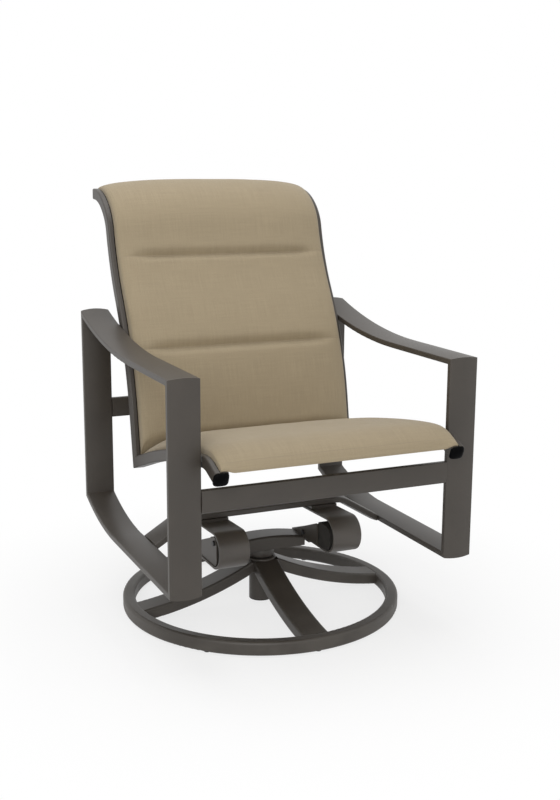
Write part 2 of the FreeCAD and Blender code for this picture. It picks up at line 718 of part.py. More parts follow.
def upper_spring_bolts():
    """Bolts up through each upper leg and pad into the arched brace."""
    parts = []
    low = -SPRING_SHEET / 2
    high = SPRING_SHEET / 2 + SPRING_PAD_THICKNESS + TUBE_CROWN + 2 * TUBE_WALL
    for distance in upper_bolt_distances():
        under = along_upper(distance, low) + Vector(SPRING_MIDDLE_X, 0, 0)
        lift = along_upper(distance, high) - along_upper(distance, low)
        down = lift * (-BOLT_HEAD_HEIGHT / lift.Length)
        head = hexagon(BOLT_HEAD_ACROSS, under, down)
        shank = upper_bolt(BOLT_RADIUS, low, high, distance, SPRING_MIDDLE_X)
        parts.append(head.fuse(shank).removeSplitter())
    return Part.makeCompound(parts + [mirrored(p) for p in parts])


# Seat frame


def arched_brace():
    """The flat tube that bridges the two side frames over the springs."""
    half_span = FRAME_INNER_X
    rise = BRACE_UNDERSIDE + TUBE_THICKNESS / 2 - RUNNER_MIDDLE
    slope = math.radians(BRACE_SLOPE)
    bend_rise = BRACE_BEND_RADIUS * (1 - math.cos(slope))
    ramp = (rise - bend_rise) / math.sin(slope)
    level = half_span - ramp * math.cos(slope) - BRACE_BEND_RADIUS * math.sin(slope)
    spare = TUBE_THICKNESS
    start = Vector(0, -half_span, RUNNER_MIDDLE) - turned(spare, 0, BRACE_SLOPE)
    runs = [
        (ramp + spare, 0),
        (BRACE_BEND_RADIUS, -BRACE_SLOPE),
        (2 * level, 0),
        (BRACE_BEND_RADIUS, -BRACE_SLOPE),
        (ramp + spare, 0),
    ]
    outer = oval_section(BRACE_WIDTH, TUBE_THICKNESS, TUBE_CROWN, TUBE_CORNER)
    half = TUBE_THICKNESS / 2 - TUBE_WALL
    inner = box_section(BRACE_WIDTH - 2 * TUBE_WALL, -half, half, 0)
    brace = carried(outer, start, BRACE_SLOPE, runs).cut(carried(inner, start, BRACE_SLOPE, runs))
    brace.rotate(Vector(0, 0, 0), Vector(0, 0, 1), -90)
    brace.translate(Vector(0, BRACE_FRONT_Y + BRACE_WIDTH / 2, 0))
    front_foot = Vector(0, BRACE_FRONT_Y, BRACE_UNDERSIDE)
    brace.rotate(front_foot, Vector(1, 0, 0), -SPRING_UPPER_SLOPE)
    brace = kept_before(brace, Vector(half_span, 0, 0), Vector(1, 0, 0))
    brace = kept_before(brace, Vector(-half_span, 0, 0), Vector(-1, 0, 0))
    for side in (1, -1):
        brace = flattened_for_pad(brace, side)
        for distance in upper_bolt_distances():
            brace = brace.cut(upper_bolt(BOLT_RADIUS + HOLE_CLEARANCE, 0, 2 * TUBE_THICKNESS + 2, distance,
                                         side * SPRING_MIDDLE_X))
    return brace


def flattened_for_pad(brace, side):
    """The brace with a flat pressed into its crown where a spring's pad bears on it."""
    low = SPRING_SHEET / 2
    section = box_section(SPRING_WIDTH - 2 * SPRING_PAD_INSET, low, low + SPRING_PAD_THICKNESS, 0)
    place, heading = upper_station()
    start = along_upper(SPRING_UPPER_LENGTH - SPRING_PAD_LENGTH, 0) + Vector(side * SPRING_MIDDLE_X, 0, 0)
    return brace.cut(carried(section, start, heading, [(SPRING_PAD_LENGTH, 0)]))


def side_tube(start, heading, runs, trims):
    """One member of a side frame, on the right, trimmed by planes given as (place, normal)."""
    outer = oval_section(TUBE_WIDTH, TUBE_THICKNESS, TUBE_CROWN, TUBE_CORNER)
    half = TUBE_THICKNESS / 2 - TUBE_WALL
    inner = box_section(TUBE_WIDTH - 2 * TUBE_WALL, -half, half, 0)
    tube = carried(outer, start, heading, runs).cut(carried(inner, start, heading, runs))
    for place, normal in trims:
        tube = kept_before(tube, place, normal)
    tube = moved(tube, FRAME_MIDDLE_X)
    for y, z in rail_bolt_places():
        hole = cross_rod(PIN_RADIUS + HOLE_CLEARANCE, RAIL_OUTER_X, FRAME_INNER_X + 5 * TUBE_WALL, y, z)
        tube = tube.cut(hole)
    return tube


def rise_at_upright(level_end, radius):
    """How far a member has climbed, and at what angle, where it meets the upright."""
    run = UPRIGHT_MIDDLE_Y - level_end
    angle = math.asin(run / radius)
    return radius * (1 - math.cos(angle)), math.degrees(angle)


def side_frame():
    """The four members of the right side frame, mitred at the corners of the loop."""
    arm_rise, arm_angle = rise_at_upright(ARM_LEVEL_END_Y, ARM_RISE_RADIUS)
    runner_rise, runner_angle = rise_at_upright(RUNNER_LEVEL_END_Y, RUNNER_RISE_RADIUS)
    front_bottom = Vector(0, LEG_MIDDLE_Y, RUNNER_MIDDLE)
    front_top = Vector(0, LEG_MIDDLE_Y, ARM_MIDDLE)
    rear_top = Vector(0, UPRIGHT_MIDDLE_Y, ARM_MIDDLE + arm_rise)
    rear_bottom = Vector(0, UPRIGHT_MIDDLE_Y, RUNNER_MIDDLE + runner_rise)
    up = Vector(0, 0, 1)
    back = Vector(0, 1, 0)
    arm_end = turned(1, 0, arm_angle)
    runner_end = turned(1, 0, runner_angle)
    spare = 2 * TUBE_THICKNESS
    leg_low = (front_bottom, back - up)
    leg_high = (front_top, back + up)
    height = ARM_MIDDLE - RUNNER_MIDDLE
    leg = side_tube(front_bottom - up * spare, 90.0, [(height + 2 * spare, 0)], [leg_low, leg_high])
    arm_runs = [(ARM_LEVEL_END_Y - LEG_MIDDLE_Y + spare, 0), (ARM_RISE_RADIUS, arm_angle), (spare, 0)]
    arm_trims = [(front_top, (back + up) * -1), (rear_top, arm_end - up)]
    arm = side_tube(front_top - back * spare, 0.0, arm_runs, arm_trims)
    upright_height = rear_top.z - rear_bottom.z
    upright_trims = [(rear_top, up - arm_end), (rear_bottom, (up + runner_end) * -1)]
    upright = side_tube(rear_bottom - up * spare, 90.0, [(upright_height + 2 * spare, 0)], upright_trims)
    runner_runs = [
        (RUNNER_LEVEL_END_Y - LEG_MIDDLE_Y + spare, 0),
        (RUNNER_RISE_RADIUS, runner_angle),
        (spare, 0),
    ]
    runner_trims = [(front_bottom, up - back), (rear_bottom, up + runner_end)]
    runner = side_tube(front_bottom - back * spare, 0.0, runner_runs, runner_trims)
    return {"front_leg": leg, "arm": arm, "rear_upright": upright, "runner": runner}


def cross_rail(bottom, middle_y):
    """A flat tube on edge between the side frames."""
    outer = oval_section(CROSS_RAIL_HEIGHT, TUBE_THICKNESS, TUBE_CROWN, TUBE_CORNER)
    half = TUBE_THICKNESS / 2 - TUBE_WALL
    inner = box_section(CROSS_RAIL_HEIGHT - 2 * TUBE_WALL, -half, half, 0)
    rail = outer.extrude(Vector(0, 2 * FRAME_INNER_X, 0)).cut(inner.extrude(Vector(0, 2 * FRAME_INNER_X, 0)))
    rail.rotate(Vector(0, 0, 0), Vector(0, 1, 0), 90)
    rail.rotate(Vector(0, 0, 0), Vector(0, 0, 1), -90)
    return moved(rail, -FRAME_INNER_X, middle_y, bottom + CROSS_RAIL_HEIGHT / 2)


# Sling rails

SEAT_START = Vector(0, SEAT_FRONT_Y, SEAT_FRONT_LEVEL)
SEAT_RUNS = [
    (SEAT_NOSE_STRAIGHT, 0),
    (SEAT_NOSE_RADIUS, -SEAT_NOSE_TURN),
    (SEAT_RADIUS, -SEAT_TURN),
    (SEAT_REAR_STRAIGHT, 0),
]
CORNER, SEAT_END_HEADING = walk(SEAT_START, SEAT_FRONT_SLOPE, SEAT_RUNS)[-1]
BACK_HEADING = 90.0 - BACK_LEAN
BACK_RUNS = [
    (BACK_STRAIGHT, 0),
    (BACK_LOWER_RADIUS, -BACK_LOWER_TURN),
    (BACK_UPPER_RADIUS, BACK_UPPER_TURN),
    (BACK_CURL_RADIUS, -BACK_CURL_TURN),
    (BACK_TOP_RADIUS, -BACK_TOP_TURN),
]
MITRE = turned(1, 0, SEAT_END_HEADING) + turned(1, 0, BACK_HEADING)


def longer(runs, first, last):
    """The runs with straights added before the first and after the last."""
    return [(first, 0)] * bool(first) + runs + [(last, 0)] * bool(last)


def rail_section():
    """The extrusion's outline, with its groove for the sling's beaded edge and its hollow."""
    outer = box_section(RAIL_WIDTH, -RAIL_DEPTH, 0, RAIL_CORNER)
    groove = Part.Face(Part.Wire(Part.makeCircle(GROOVE_RADIUS, Vector(GROOVE_OFFSET, 0, -GROOVE_DEPTH),
                                                 Vector(0, 1, 0))))
    mouth = moved(box_section(GROOVE_MOUTH, -GROOVE_DEPTH, 1, 0), GROOVE_OFFSET)
    floor = -GROOVE_DEPTH - GROOVE_RADIUS - RAIL_WALL
    hollow = box_section(RAIL_WIDTH - 2 * RAIL_WALL, RAIL_WALL - RAIL_DEPTH, floor, 0)
    section = outer.cut(groove.fuse(mouth)).cut(hollow)
    return section.Faces[0]


def seat_rail():
    """The rail beside the seat, from the front end to the mitre."""
    runs = longer(SEAT_RUNS, 0, 2 * RAIL_DEPTH)
    rail = carried(rail_section(), SEAT_START, SEAT_FRONT_SLOPE, runs)
    rail = moved(kept_before(rail, CORNER, MITRE), RAIL_MIDDLE_X)
    return drilled_for_frame(rail)


def back_rail():
    """The rail beside the back, from the mitre to its curled top."""
    below = 2 * RAIL_DEPTH
    start = CORNER - turned(below, 0, BACK_HEADING)
    rail = carried(rail_section(), start, BACK_HEADING, longer(BACK_RUNS, below, 0))
    rail = moved(kept_before(rail, CORNER, MITRE * -1), RAIL_MIDDLE_X)
    return drilled_for_frame(rail)


def keder_rod(start, heading, runs, place, normal):
    """The beaded edge of the sling, in the groove of one rail."""
    section = Part.Face(Part.Wire(Part.makeCircle(KEDER_RADIUS, Vector(GROOVE_OFFSET, 0, -GROOVE_DEPTH),
                                                  Vector(0, 1, 0))))
    rod = carried(section, start, heading, runs)
    return moved(kept_before(rod, place, normal), RAIL_MIDDLE_X)


def keder_rods():
    """Four rods: seat and back, on both sides."""
    gap = MITRE * (SEAT_GAP / MITRE.Length)
    inset = turned(CAP_THICKNESS, 0, SEAT_FRONT_SLOPE)
    seat_runs = longer(SEAT_RUNS[1:], SEAT_NOSE_STRAIGHT - CAP_THICKNESS, RAIL_DEPTH)
    seat = keder_rod(SEAT_START + inset, SEAT_FRONT_SLOPE, seat_runs, CORNER - gap, MITRE)
    start = CORNER - turned(RAIL_DEPTH, 0, BACK_HEADING)
    back = keder_rod(start, BACK_HEADING, longer(BACK_RUNS, RAIL_DEPTH, 0), CORNER + gap, MITRE * -1)
    rods = [seat, back]
    return Part.makeCompound(rods + [mirrored(rod) for rod in rods])


def end_cap(thickness, rounding, outward):
    """A cap on a rail's end, with a plug in its hollow; outward is -1 at a front end and 1 at a top end."""
    plate = box_section(RAIL_WIDTH, -RAIL_DEPTH, 0, RAIL_CORNER).extrude(Vector(0, outward * thickness, 0))
    if rounding:
        rim = [e for e in plate.Edges if e.CenterOfMass.y * outward > thickness - 0.01]
        plate = plate.makeFillet(rounding, rim)
    floor = -GROOVE_DEPTH - GROOVE_RADIUS - RAIL_WALL
    width = RAIL_WIDTH - 2 * RAIL_WALL - 2 * CAP_PLUG_GAP
    plug = box_section(width, RAIL_WALL - RAIL_DEPTH + CAP_PLUG_GAP, floor - CAP_PLUG_GAP, 0)
    return joined([plate, plug.extrude(Vector(0, -outward * CAP_PLUG, 0))])


def placed_caps(cap, place, heading):
    """Both caps of a pair, at a station of a rail's path."""
    cap.rotate(Vector(0, 0, 0), Vector(1, 0, 0), heading)
    cap = moved(cap, RAIL_MIDDLE_X, place.y, place.z)
    return Part.makeCompound([cap, mirrored(cap)])


def front_caps():
    """The black caps on the seat rails' front ends."""
    return placed_caps(end_cap(CAP_THICKNESS, CAP_ROUNDING, -1), SEAT_START, SEAT_FRONT_SLOPE)


def top_caps():
    """The flat caps on the back rails' upper ends."""
    place, heading = walk(CORNER, BACK_HEADING, BACK_RUNS)[-1]
    return placed_caps(end_cap(TOP_CAP_THICKNESS, 0, 1), place, heading)


def hollow_point(start, heading, runs, distance):
    """The middle of a rail's hollow at a distance along its path."""
    place, angle = station_at(start, heading, runs, distance)
    floor = GROOVE_DEPTH + GROOVE_RADIUS + RAIL_WALL
    return place + turned(0, -(floor + RAIL_DEPTH - RAIL_WALL) / 2, angle)


def rail_bolt_places():
    """(y, z) where the rails' hollows cross the middle of the front leg and of the arm."""
    seat = (SEAT_START, SEAT_FRONT_SLOPE, SEAT_RUNS)
    low, high = 0.0, SEAT_NOSE_STRAIGHT + SEAT_NOSE_RADIUS
    for _ in range(40):
        middle = (low + high) / 2
        behind = hollow_point(*seat, middle).y > LEG_MIDDLE_Y
        low, high = (low, middle) if behind else (middle, high)
    leg_point = hollow_point(*seat, low)
    back = (CORNER, BACK_HEADING, BACK_RUNS)
    low, high = 0.0, BACK_STRAIGHT + BACK_LOWER_RADIUS
    for _ in range(40):
        middle = (low + high) / 2
        point = hollow_point(*back, middle)
        run = min(max(point.y - ARM_LEVEL_END_Y, 0.0), ARM_RISE_RADIUS)
        arm_level = ARM_MIDDLE + ARM_RISE_RADIUS - math.sqrt(ARM_RISE_RADIUS ** 2 - run ** 2)
        low, high = (low, middle) if point.z > arm_level else (middle, high)
    arm_point = hollow_point(*back, low)
    return [(leg_point.y, leg_point.z), (arm_point.y, arm_point.z)]


def drilled_for_frame(rail):
    """A rail with the holes of the bolts that hold it to its side frame."""
    for y, z in rail_bolt_places():
        rail = rail.cut(cross_rod(PIN_RADIUS + HOLE_CLEARANCE, 0, REACH, y, z))
    return rail


def rail_bolts():
    """Bolts from the inner side of each rail into the side frame."""
    bolts = [cross_bolt(RAIL_INNER_X, FRAME_INNER_X + 4 * TUBE_WALL, y, z) for y, z in rail_bolt_places()]
    return Part.makeCompound(bolts + [mirrored(bolt) for bolt in bolts])


def rail_spacers():
    """Washers between each rail and its side frame."""
    parts = []
    for y, z in rail_bolt_places():
        ring = cross_rod(PIN_HEAD_ACROSS / 2, RAIL_OUTER_X, FRAME_INNER_X, y, z)
        parts.append(ring.cut(cross_rod(PIN_RADIUS + HOLE_CLEARANCE, 0, REACH, y, z)))
    return Part.makeCompound(parts + [mirrored(p) for p in parts])


def spreader(y, z):
    """A round bar between two rails."""
    bar = cross_rod(SPREADER_RADIUS, -RAIL_INNER_X, RAIL_INNER_X, y, z)
    return bar.cut(cross_rod(SPREADER_RADIUS - SPREADER_WALL, -RAIL_INNER_X, RAIL_INNER_X, y, z))


def below_face(station, distance):
    """A point halfway through the rail's depth, so far along from a station."""
    place, heading = station
    return place + turned(distance, -RAIL_DEPTH / 2, heading)


def spreaders():
    """Bars that hold the rails apart: under the seat's nose, behind the corner and behind the top."""
    seat = walk(SEAT_START, SEAT_FRONT_SLOPE, SEAT_RUNS)
    back = walk(CORNER, BACK_HEADING, BACK_RUNS)
    front = below_face(seat[1], 0)
    corner = below_face(back[0], 3 * SPREADER_RADIUS)
    top = below_face(back[4], 0)
    return {
        "front_spreader_bar": spreader(front.y, front.z),
        "corner_spreader_bar": spreader(corner.y, corner.z),
        "top_spreader_bar": spreader(top.y, top.z),
    }


# Padded sling


def station_at(start, heading, runs, distance):
    """Place and heading at a distance along a path."""
    for (place, angle), (size, turn) in zip(walk(start, heading, runs), runs):
        length = size if turn == 0 else size * math.radians(abs(turn))
        if distance <= length:
            part = (distance, 0) if turn == 0 else (size, turn * distance / length)
            return walk(place, angle, [part])[-1] if distance > 0 else (place, angle)
        distance -= length
    place, angle = walk(start, heading, runs)[-1]
    return place + turned(distance, 0, angle), angle


def pad_wire(station, height):
    """The pad's outline across its width at a station: a flat back, low edges and a crowned face."""
    place, heading = station
    half = PAD_HALF_WIDTH
    edge = min(PAD_EDGE_HEIGHT, height)
    shape = [(half, SEAT_GAP), (half, edge), (half - PAD_SHOULDER / 3, edge + 0.6 * (height - edge)),
             (half - PAD_SHOULDER, edge + 0.9 * (height - edge)), (half / 2, height)]
    points = [Vector(x, 0, z) for x, z in shape] + [Vector(-x, 0, z) for x, z in reversed(shape)]
    wire = Part.makePolygon(points + points[:1])
    wire.rotate(Vector(0, 0, 0), Vector(1, 0, 0), heading)
    wire.translate(place)
    return wire


def pad_stations(runs):
    """Distances along a path close enough for straight facets to stay off the rails."""
    distances = [0.0]
    for size, turn in runs:
        count = 1
        length = size
        if turn != 0:
            step = 2 * math.degrees(math.acos(1 - PAD_CHORD_SAG / size))
            count = math.ceil(abs(turn) / step)
            length = size * math.radians(abs(turn))
        first = distances[-1]
        distances = distances + [first + length * (i + 1) / count for i in range(count)]
    return distances


def pad(start, heading, runs, heights, place, normal):
    """A pad that follows a rail's face, cut off at the crease between seat and back."""
    wires = []
    for distance in pad_stations(runs):
        station = station_at(start, heading, runs, distance)
        wires.append(pad_wire(station, height_at(heights, distance)))
    solid = Part.makeLoft(wires, True, True)
    return kept_before(solid, place, normal)


def height_at(heights, distance):
    """The pad's height at a distance, between the listed ones."""
    before = heights[0]
    for after in heights[1:]:
        if distance <= after[0]:
            share = (distance - before[0]) / (after[0] - before[0])
            return before[1] + share * (after[1] - before[1])
        before = after
    return before[1]


def crease(side):
    """The plane where the two pads meet, as a place and a normal; side is 1 for the seat's pad."""
    along = turned(0, 1, CREASE_TILT)
    normal = turned(1, 0, CREASE_TILT) * side
    return CORNER + along - normal * (SEAT_GAP / 2), normal


def seat_pad():
    """The padded sling of the seat."""
    inset = turned(PAD_FRONT_MARGIN, 0, SEAT_FRONT_SLOPE)
    runs = longer(SEAT_RUNS[1:], SEAT_NOSE_STRAIGHT - PAD_FRONT_MARGIN, RAIL_DEPTH)
    return pad(SEAT_START + inset, SEAT_FRONT_SLOPE, runs, SEAT_PAD_HEIGHTS, *crease(1))


def back_pad():
    """The padded sling of the back."""
    start = CORNER - turned(RAIL_DEPTH, 0, BACK_HEADING)
    return pad(start, BACK_HEADING, longer(BACK_RUNS, RAIL_DEPTH, 0), BACK_PAD_HEIGHTS, *crease(-1))


def chair():
    """Every piece by name."""
    nodes = {
        "base_ring": base_ring(),
        "glides": glides(),
        "base_hub": base_hub(),
        "centre_post": centre_post(),
        "post_cap": post_cap(),
        "upper_bush": upper_bush(),
        "lower_bush": lower_bush(),
        "thrust_washer": thrust_washer(),
        "spindle": spindle(),
        "spindle_clip": spindle_clip(),
        "yoke": yoke(),
        "bracket_pins": bracket_pins(),
        "lower_spring_bolts": lower_spring_bolts(),
        "upper_spring_bolts": upper_spring_bolts(),
        "arched_brace": arched_brace(),
        "front_cross_rail": cross_rail(FRONT_RAIL_BOTTOM, LEG_MIDDLE_Y),
        "rear_cross_rail": cross_rail(REAR_RAIL_BOTTOM, UPRIGHT_MIDDLE_Y),
        "keder_rods": keder_rods(),
        "front_caps": front_caps(),
        "top_caps": top_caps(),
        "rail_bolts": rail_bolts(),
        "rail_spacers": rail_spacers(),
        "seat_pad": seat_pad(),
        "back_pad": back_pad(),
    }
    nodes.update(base_spokes())
    nodes.update(spreaders())
    pairs = {
        "spring_bracket": spring_bracket(),
        "spring_bumper": spring_bumper(),
        "c_spring": c_spring(),
        "spring_pad": spring_pad(),
        "spring_clamp": spring_clamp(),
        "seat_rail": seat_rail(),
        "back_rail": back_rail(),
    }
    pairs.update(side_frame())
    for name, shape in pairs.items():
        nodes[name + "_right"] = shape
        nodes[name + "_left"] = mirrored(shape)
    return nodes


def main():
    """Build every piece, centre the footprint and write the files."""
    nodes = chair()
    whole = Part.makeCompound(list(nodes.values())).optimalBoundingBox()
    shift = -(whole.YMin + whole.YMax) / 2
    os.makedirs("parts", exist_ok=True)
    for name, shape in nodes.items():
        placed = moved(shape, 0, shift, 0)
        placed.exportStep("parts/" + name + ".step")
        print(name, len(placed.Solids), "valid" if placed.isValid() else "not valid", round(placed.Volume))
    print("size", round(whole.XLength, 2), round(whole.YLength, 2), round(whole.ZLength, 2))
    bend = SPRING_LEG_LEVEL + SPRING_BEND_RADIUS
    print("swivel axis y", round(shift, 3), "rock axis y", round(SPRING_BEND_Y + shift, 3), "z", bend)


main()
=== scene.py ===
"""Looks for a swivel rocker: a padded sling armchair on C springs, a swivel yoke and a ring base."""

import math

import bpy
import numpy as np
from mathutils import Matrix


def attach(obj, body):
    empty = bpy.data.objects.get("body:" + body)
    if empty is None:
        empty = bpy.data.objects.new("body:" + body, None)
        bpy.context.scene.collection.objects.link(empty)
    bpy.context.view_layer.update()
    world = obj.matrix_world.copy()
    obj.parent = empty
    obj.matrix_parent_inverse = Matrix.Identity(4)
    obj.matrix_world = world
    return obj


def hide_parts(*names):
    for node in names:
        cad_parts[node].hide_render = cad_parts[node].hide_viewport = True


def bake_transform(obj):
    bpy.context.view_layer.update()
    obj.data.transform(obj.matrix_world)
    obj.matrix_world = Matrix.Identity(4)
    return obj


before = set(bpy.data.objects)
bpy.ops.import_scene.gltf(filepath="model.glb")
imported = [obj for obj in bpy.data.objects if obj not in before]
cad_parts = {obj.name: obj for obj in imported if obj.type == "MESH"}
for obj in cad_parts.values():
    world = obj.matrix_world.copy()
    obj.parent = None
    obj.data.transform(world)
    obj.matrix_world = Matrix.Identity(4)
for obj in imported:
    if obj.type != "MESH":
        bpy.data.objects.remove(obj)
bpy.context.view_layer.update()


# Studio. The chair stands in a white studio on a pale floor, under a broad soft lamp overhead, a softer
# one in front on the left and a weak one on the right. The floor keeps a pale shadow near the chair's
# base and runs out into plain white further off.

scene = bpy.context.scene
scene.view_settings.view_transform = "Standard"


class Socket:
    """An output in a node tree. A sum, difference, product or quotient of outputs adds a Math node."""

    def __init__(self, tree, end=None):
        self.tree = tree
        self.end = end

    def node(self, kind, settings, inputs, output=0):
        """A node of one kind: its settings are set first, then each socket gets its value or its link."""
        made = self.tree.nodes.new("ShaderNode" + kind)
        for name, value in settings.items():
            setattr(made, name, value)
        for name, value in inputs.items():
            if isinstance(value, Socket):
                self.tree.links.new(value.end, made.inputs[name])
            else:
                made.inputs[name].default_value = value
        return Socket(self.tree, made.outputs[output] if len(made.outputs) else None)

    def maths(self, operation, first, second=0.0):
        return self.node("Math", {"operation": operation}, {0: first, 1: second})

    def __add__(self, other):
        return self.maths("ADD", self, other)

    def __sub__(self, other):
        return self.maths("SUBTRACT", self, other)

    def __rsub__(self, other):
        return self.maths("SUBTRACT", other, self)

    def __mul__(self, other):
        return self.maths("MULTIPLY", self, other)

    def __truediv__(self, other):
        return self.maths("DIVIDE", self, other)

    __radd__ = __add__
    __rmul__ = __mul__

    def rising(self, low, high):
        """0 below low, 1 above high, and a smooth step between."""
        values = {"Value": self, "From Min": low, "From Max": high}
        return self.node("MapRange", {"interpolation_type": "SMOOTHSTEP"}, values)

    def blend(self, first, second):
        """The first colour where this output is 0, and the second where it is 1."""
        return self.node("Mix", {"data_type": "RGBA"}, {0: self, 6: first, 7: second}, 2)


def seen(tree):
    """1 for rays that show a surface: from the camera, in a gloss or through glass."""
    rays = tree.node("LightPath", {}, {}, "Is Camera Ray")
    node = rays.end.node
    glossy = Socket(tree.tree, node.outputs["Is Glossy Ray"])
    through = Socket(tree.tree, node.outputs["Is Transmission Ray"])
    return tree.maths("MINIMUM", rays + glossy + through, 1.0)


WHITE = (1.0, 1.0, 1.0, 1.0)
SKY = (0.40, 0.40, 0.40, 1.0)
FLOOR_SEEN = (1.0, 1.0, 1.0, 1.0)
FLOOR_BOUNCE = (0.95, 0.95, 0.95, 1.0)
FLOOR_HALF = 12.0
SHADOW_FADES = (0.32, 0.95)
SHADOW_LIFT = 0.75

world = bpy.data.worlds.new("studio")
scene.world = world
world.use_nodes = True
world.node_tree.nodes.clear()
sky = Socket(world.node_tree)
sky_light = sky.node("Background", {}, {"Color": seen(sky).blend(SKY, WHITE), "Strength": 1.0})
sky.node("OutputWorld", {}, {"Surface": sky_light})

floor_mesh = bpy.data.meshes.new("studio_floor")
floor_corners = [(-1, -1, 0), (1, -1, 0), (1, 1, 0), (-1, 1, 0)]
floor_points = [(FLOOR_HALF * x, FLOOR_HALF * y, z) for x, y, z in floor_corners]
floor_mesh.from_pydata(floor_points, [], [(0, 1, 2, 3)])
studio_floor = bpy.data.objects.new("studio_floor", floor_mesh)
scene.collection.objects.link(studio_floor)
floor_paint = bpy.data.materials.new("studio_paint")
floor_paint.use_nodes = True
floor_paint.node_tree.nodes.clear()
paint = Socket(floor_paint.node_tree)
shown = seen(paint)
out_from_chair = paint.node("VectorMath", {"operation": "LENGTH"},
                            {0: paint.node("TexCoord", {}, {}, "Object")}, "Value")
far_off = out_from_chair.rising(*SHADOW_FADES)
matt = paint.node("BsdfDiffuse", {}, {"Color": shown.blend(FLOOR_BOUNCE, FLOOR_SEEN)})
plain = paint.node("Emission", {}, {"Color": WHITE, "Strength": 1.0})
lifted = (SHADOW_LIFT + far_off * (1.0 - SHADOW_LIFT)) * shown
paint.node("OutputMaterial", {}, {"Surface": paint.node("MixShader", {}, {0: lifted, 1: matt, 2: plain})})
floor_mesh.materials.append(floor_paint)


def softbox(name, place, aim, size, watts):
    """A square lamp at a place, turned so that its face looks at the aim."""
    lamp = bpy.data.lights.new(name, "AREA")
    lamp.shape = "SQUARE"
    lamp.size = size
    lamp.energy = watts
    holder = bpy.data.objects.new(name, lamp)
    scene.collection.objects.link(holder)
    back = np.array(place, float) - np.array(aim, float)
    back /= np.linalg.norm(back)
    side = np.cross((0.0, 1.0, 0.1), back)
    side /= np.linalg.norm(side)
    up = np.cross(back, side)
    turn = np.eye(4)
    turn[:3, :4] = np.column_stack([side, up, back, place])
    holder.matrix_world = Matrix(turn.tolist())
    holder.visible_camera = False


softbox("overhead_lamp", (-0.3, 0.1, 3.0), (0.0, 0.0, 0.3), 2.6, 38.0)
softbox("front_lamp", (-2.0, -3.2, 1.9), (0.0, 0.0, 0.5), 2.0, 56.0)
softbox("right_lamp", (3.2, -1.6, 1.6), (0.0, 0.0, 0.5), 2.0, 10.0)

CAMERA_PLACE = (-1.0370, -2.3637, 1.0315)
CAMERA_TURN = math.radians(-24.485)
CAMERA_DIP = math.radians(11.71)
CAMERA_ROLL = math.radians(0.352)
FOCAL_PIXELS = 1144.877
IMAGE_HEIGHT = 800
SENSOR_HEIGHT = 24.0

lens = bpy.data.cameras.new("camera")
lens.sensor_fit = "VERTICAL"
lens.sensor_height = SENSOR_HEIGHT
lens.lens = SENSOR_HEIGHT * FOCAL_PIXELS / IMAGE_HEIGHT
lens.clip_end = 60.0
camera = bpy.data.objects.new("camera", lens)
scene.collection.objects.link(camera)
level = np.array([math.cos(CAMERA_TURN), math.sin(CAMERA_TURN), 0.0])
ahead = np.array([-math.sin(CAMERA_TURN) * math.cos(CAMERA_DIP),
                  math.cos(CAMERA_TURN) * math.cos(CAMERA_DIP), -math.sin(CAMERA_DIP)])
upward = np.cross(level, ahead)
rolled_right = math.cos(CAMERA_ROLL) * level + math.sin(CAMERA_ROLL) * upward
rolled_up = -math.sin(CAMERA_ROLL) * level + math.cos(CAMERA_ROLL) * upward
stand = np.eye(4)
stand[:3, :4] = np.column_stack([rolled_right, rolled_up, -ahead, CAMERA_PLACE])
camera.matrix_world = Matrix(stand.tolist())
scene.camera = camera


# Ring base. A ring of oval tube stands on eight glides, and four arms of flat tube rise from it to the
# hub round the centre post. All of it is aluminium, welded, and powder coated a satin bronze grey.

COAT = (0.051, 0.043, 0.035)
COAT_DUST = (0.15, 0.14, 0.125)


def new_finish(name):
    """An empty material, as the start of its node tree."""
    made = bpy.data.materials.new(name)
    made.use_nodes = True
    made.node_tree.nodes.clear()
    return made, Socket(made.node_tree)


def shade(colour, share):
    """A colour made lighter or darker by a share, ready for a socket."""
    return tuple(channel * share for channel in colour) + (1.0,)


def powder_coat(name, colour, roughness):
    """Baked powder: its colour wanders over a hand's width and its skin has fine dimples.

    Dust lightens it towards the floor, more in some places than in others.
    """
    made, at = new_finish(name)
    place = at.node("TexCoord", {}, {}, "Object")
    height = at.node("SeparateXYZ", {}, {"Vector": place}, "Z")
    cloud = at.node("TexNoise", {}, {"Vector": place, "Scale": 11.0, "Detail": 3.0})
    peel = at.node("TexNoise", {}, {"Vector": place, "Scale": 620.0, "Detail": 1.5})
    grains = at.node("TexNoise", {}, {"Vector": place, "Scale": 2600.0, "Detail": 0.0})
    body = cloud.rising(0.3, 0.7).blend(shade(colour, 0.93), shade(colour, 1.07))
    speckled = (grains.rising(0.62, 0.75) * 0.35).blend(body, shade(colour, 1.5))
    dust = (1.0 - height.rising(0.0, 0.11)) * cloud.rising(0.35, 0.7) * 0.22
    values = {
        "Base Color": dust.blend(speckled, COAT_DUST + (1.0,)),
        "Roughness": roughness + cloud * 0.08 + dust * 0.5,
        "IOR": 1.5,
        "Normal": at.node("Bump", {}, {"Height": peel, "Strength": 0.35, "Distance": 0.00012}),
    }
    at.node("OutputMaterial", {}, {"Surface": at.node("BsdfPrincipled", {}, values)})
    return made


def give(finish, *names):
    """These carried-over pieces get one finish."""
    for name in names:
        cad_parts[name].data.materials.clear()
        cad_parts[name].data.materials.append(finish)


bronze_coat = powder_coat("bronze_powder_coat", COAT, 0.40)
give(bronze_coat, "base_ring", "base_spoke_front", "base_spoke_rear", "base_spoke_left", "base_spoke_right",
     "base_hub", "centre_post")


# Glides and the post's lower cap. Black moulded nylon with a fine spark texture, scuffed grey where it
# meets the floor. The glides press into holes in the ring's underside.

NYLON = (0.012, 0.012, 0.012)
SCUFF = (0.09, 0.088, 0.085, 1.0)


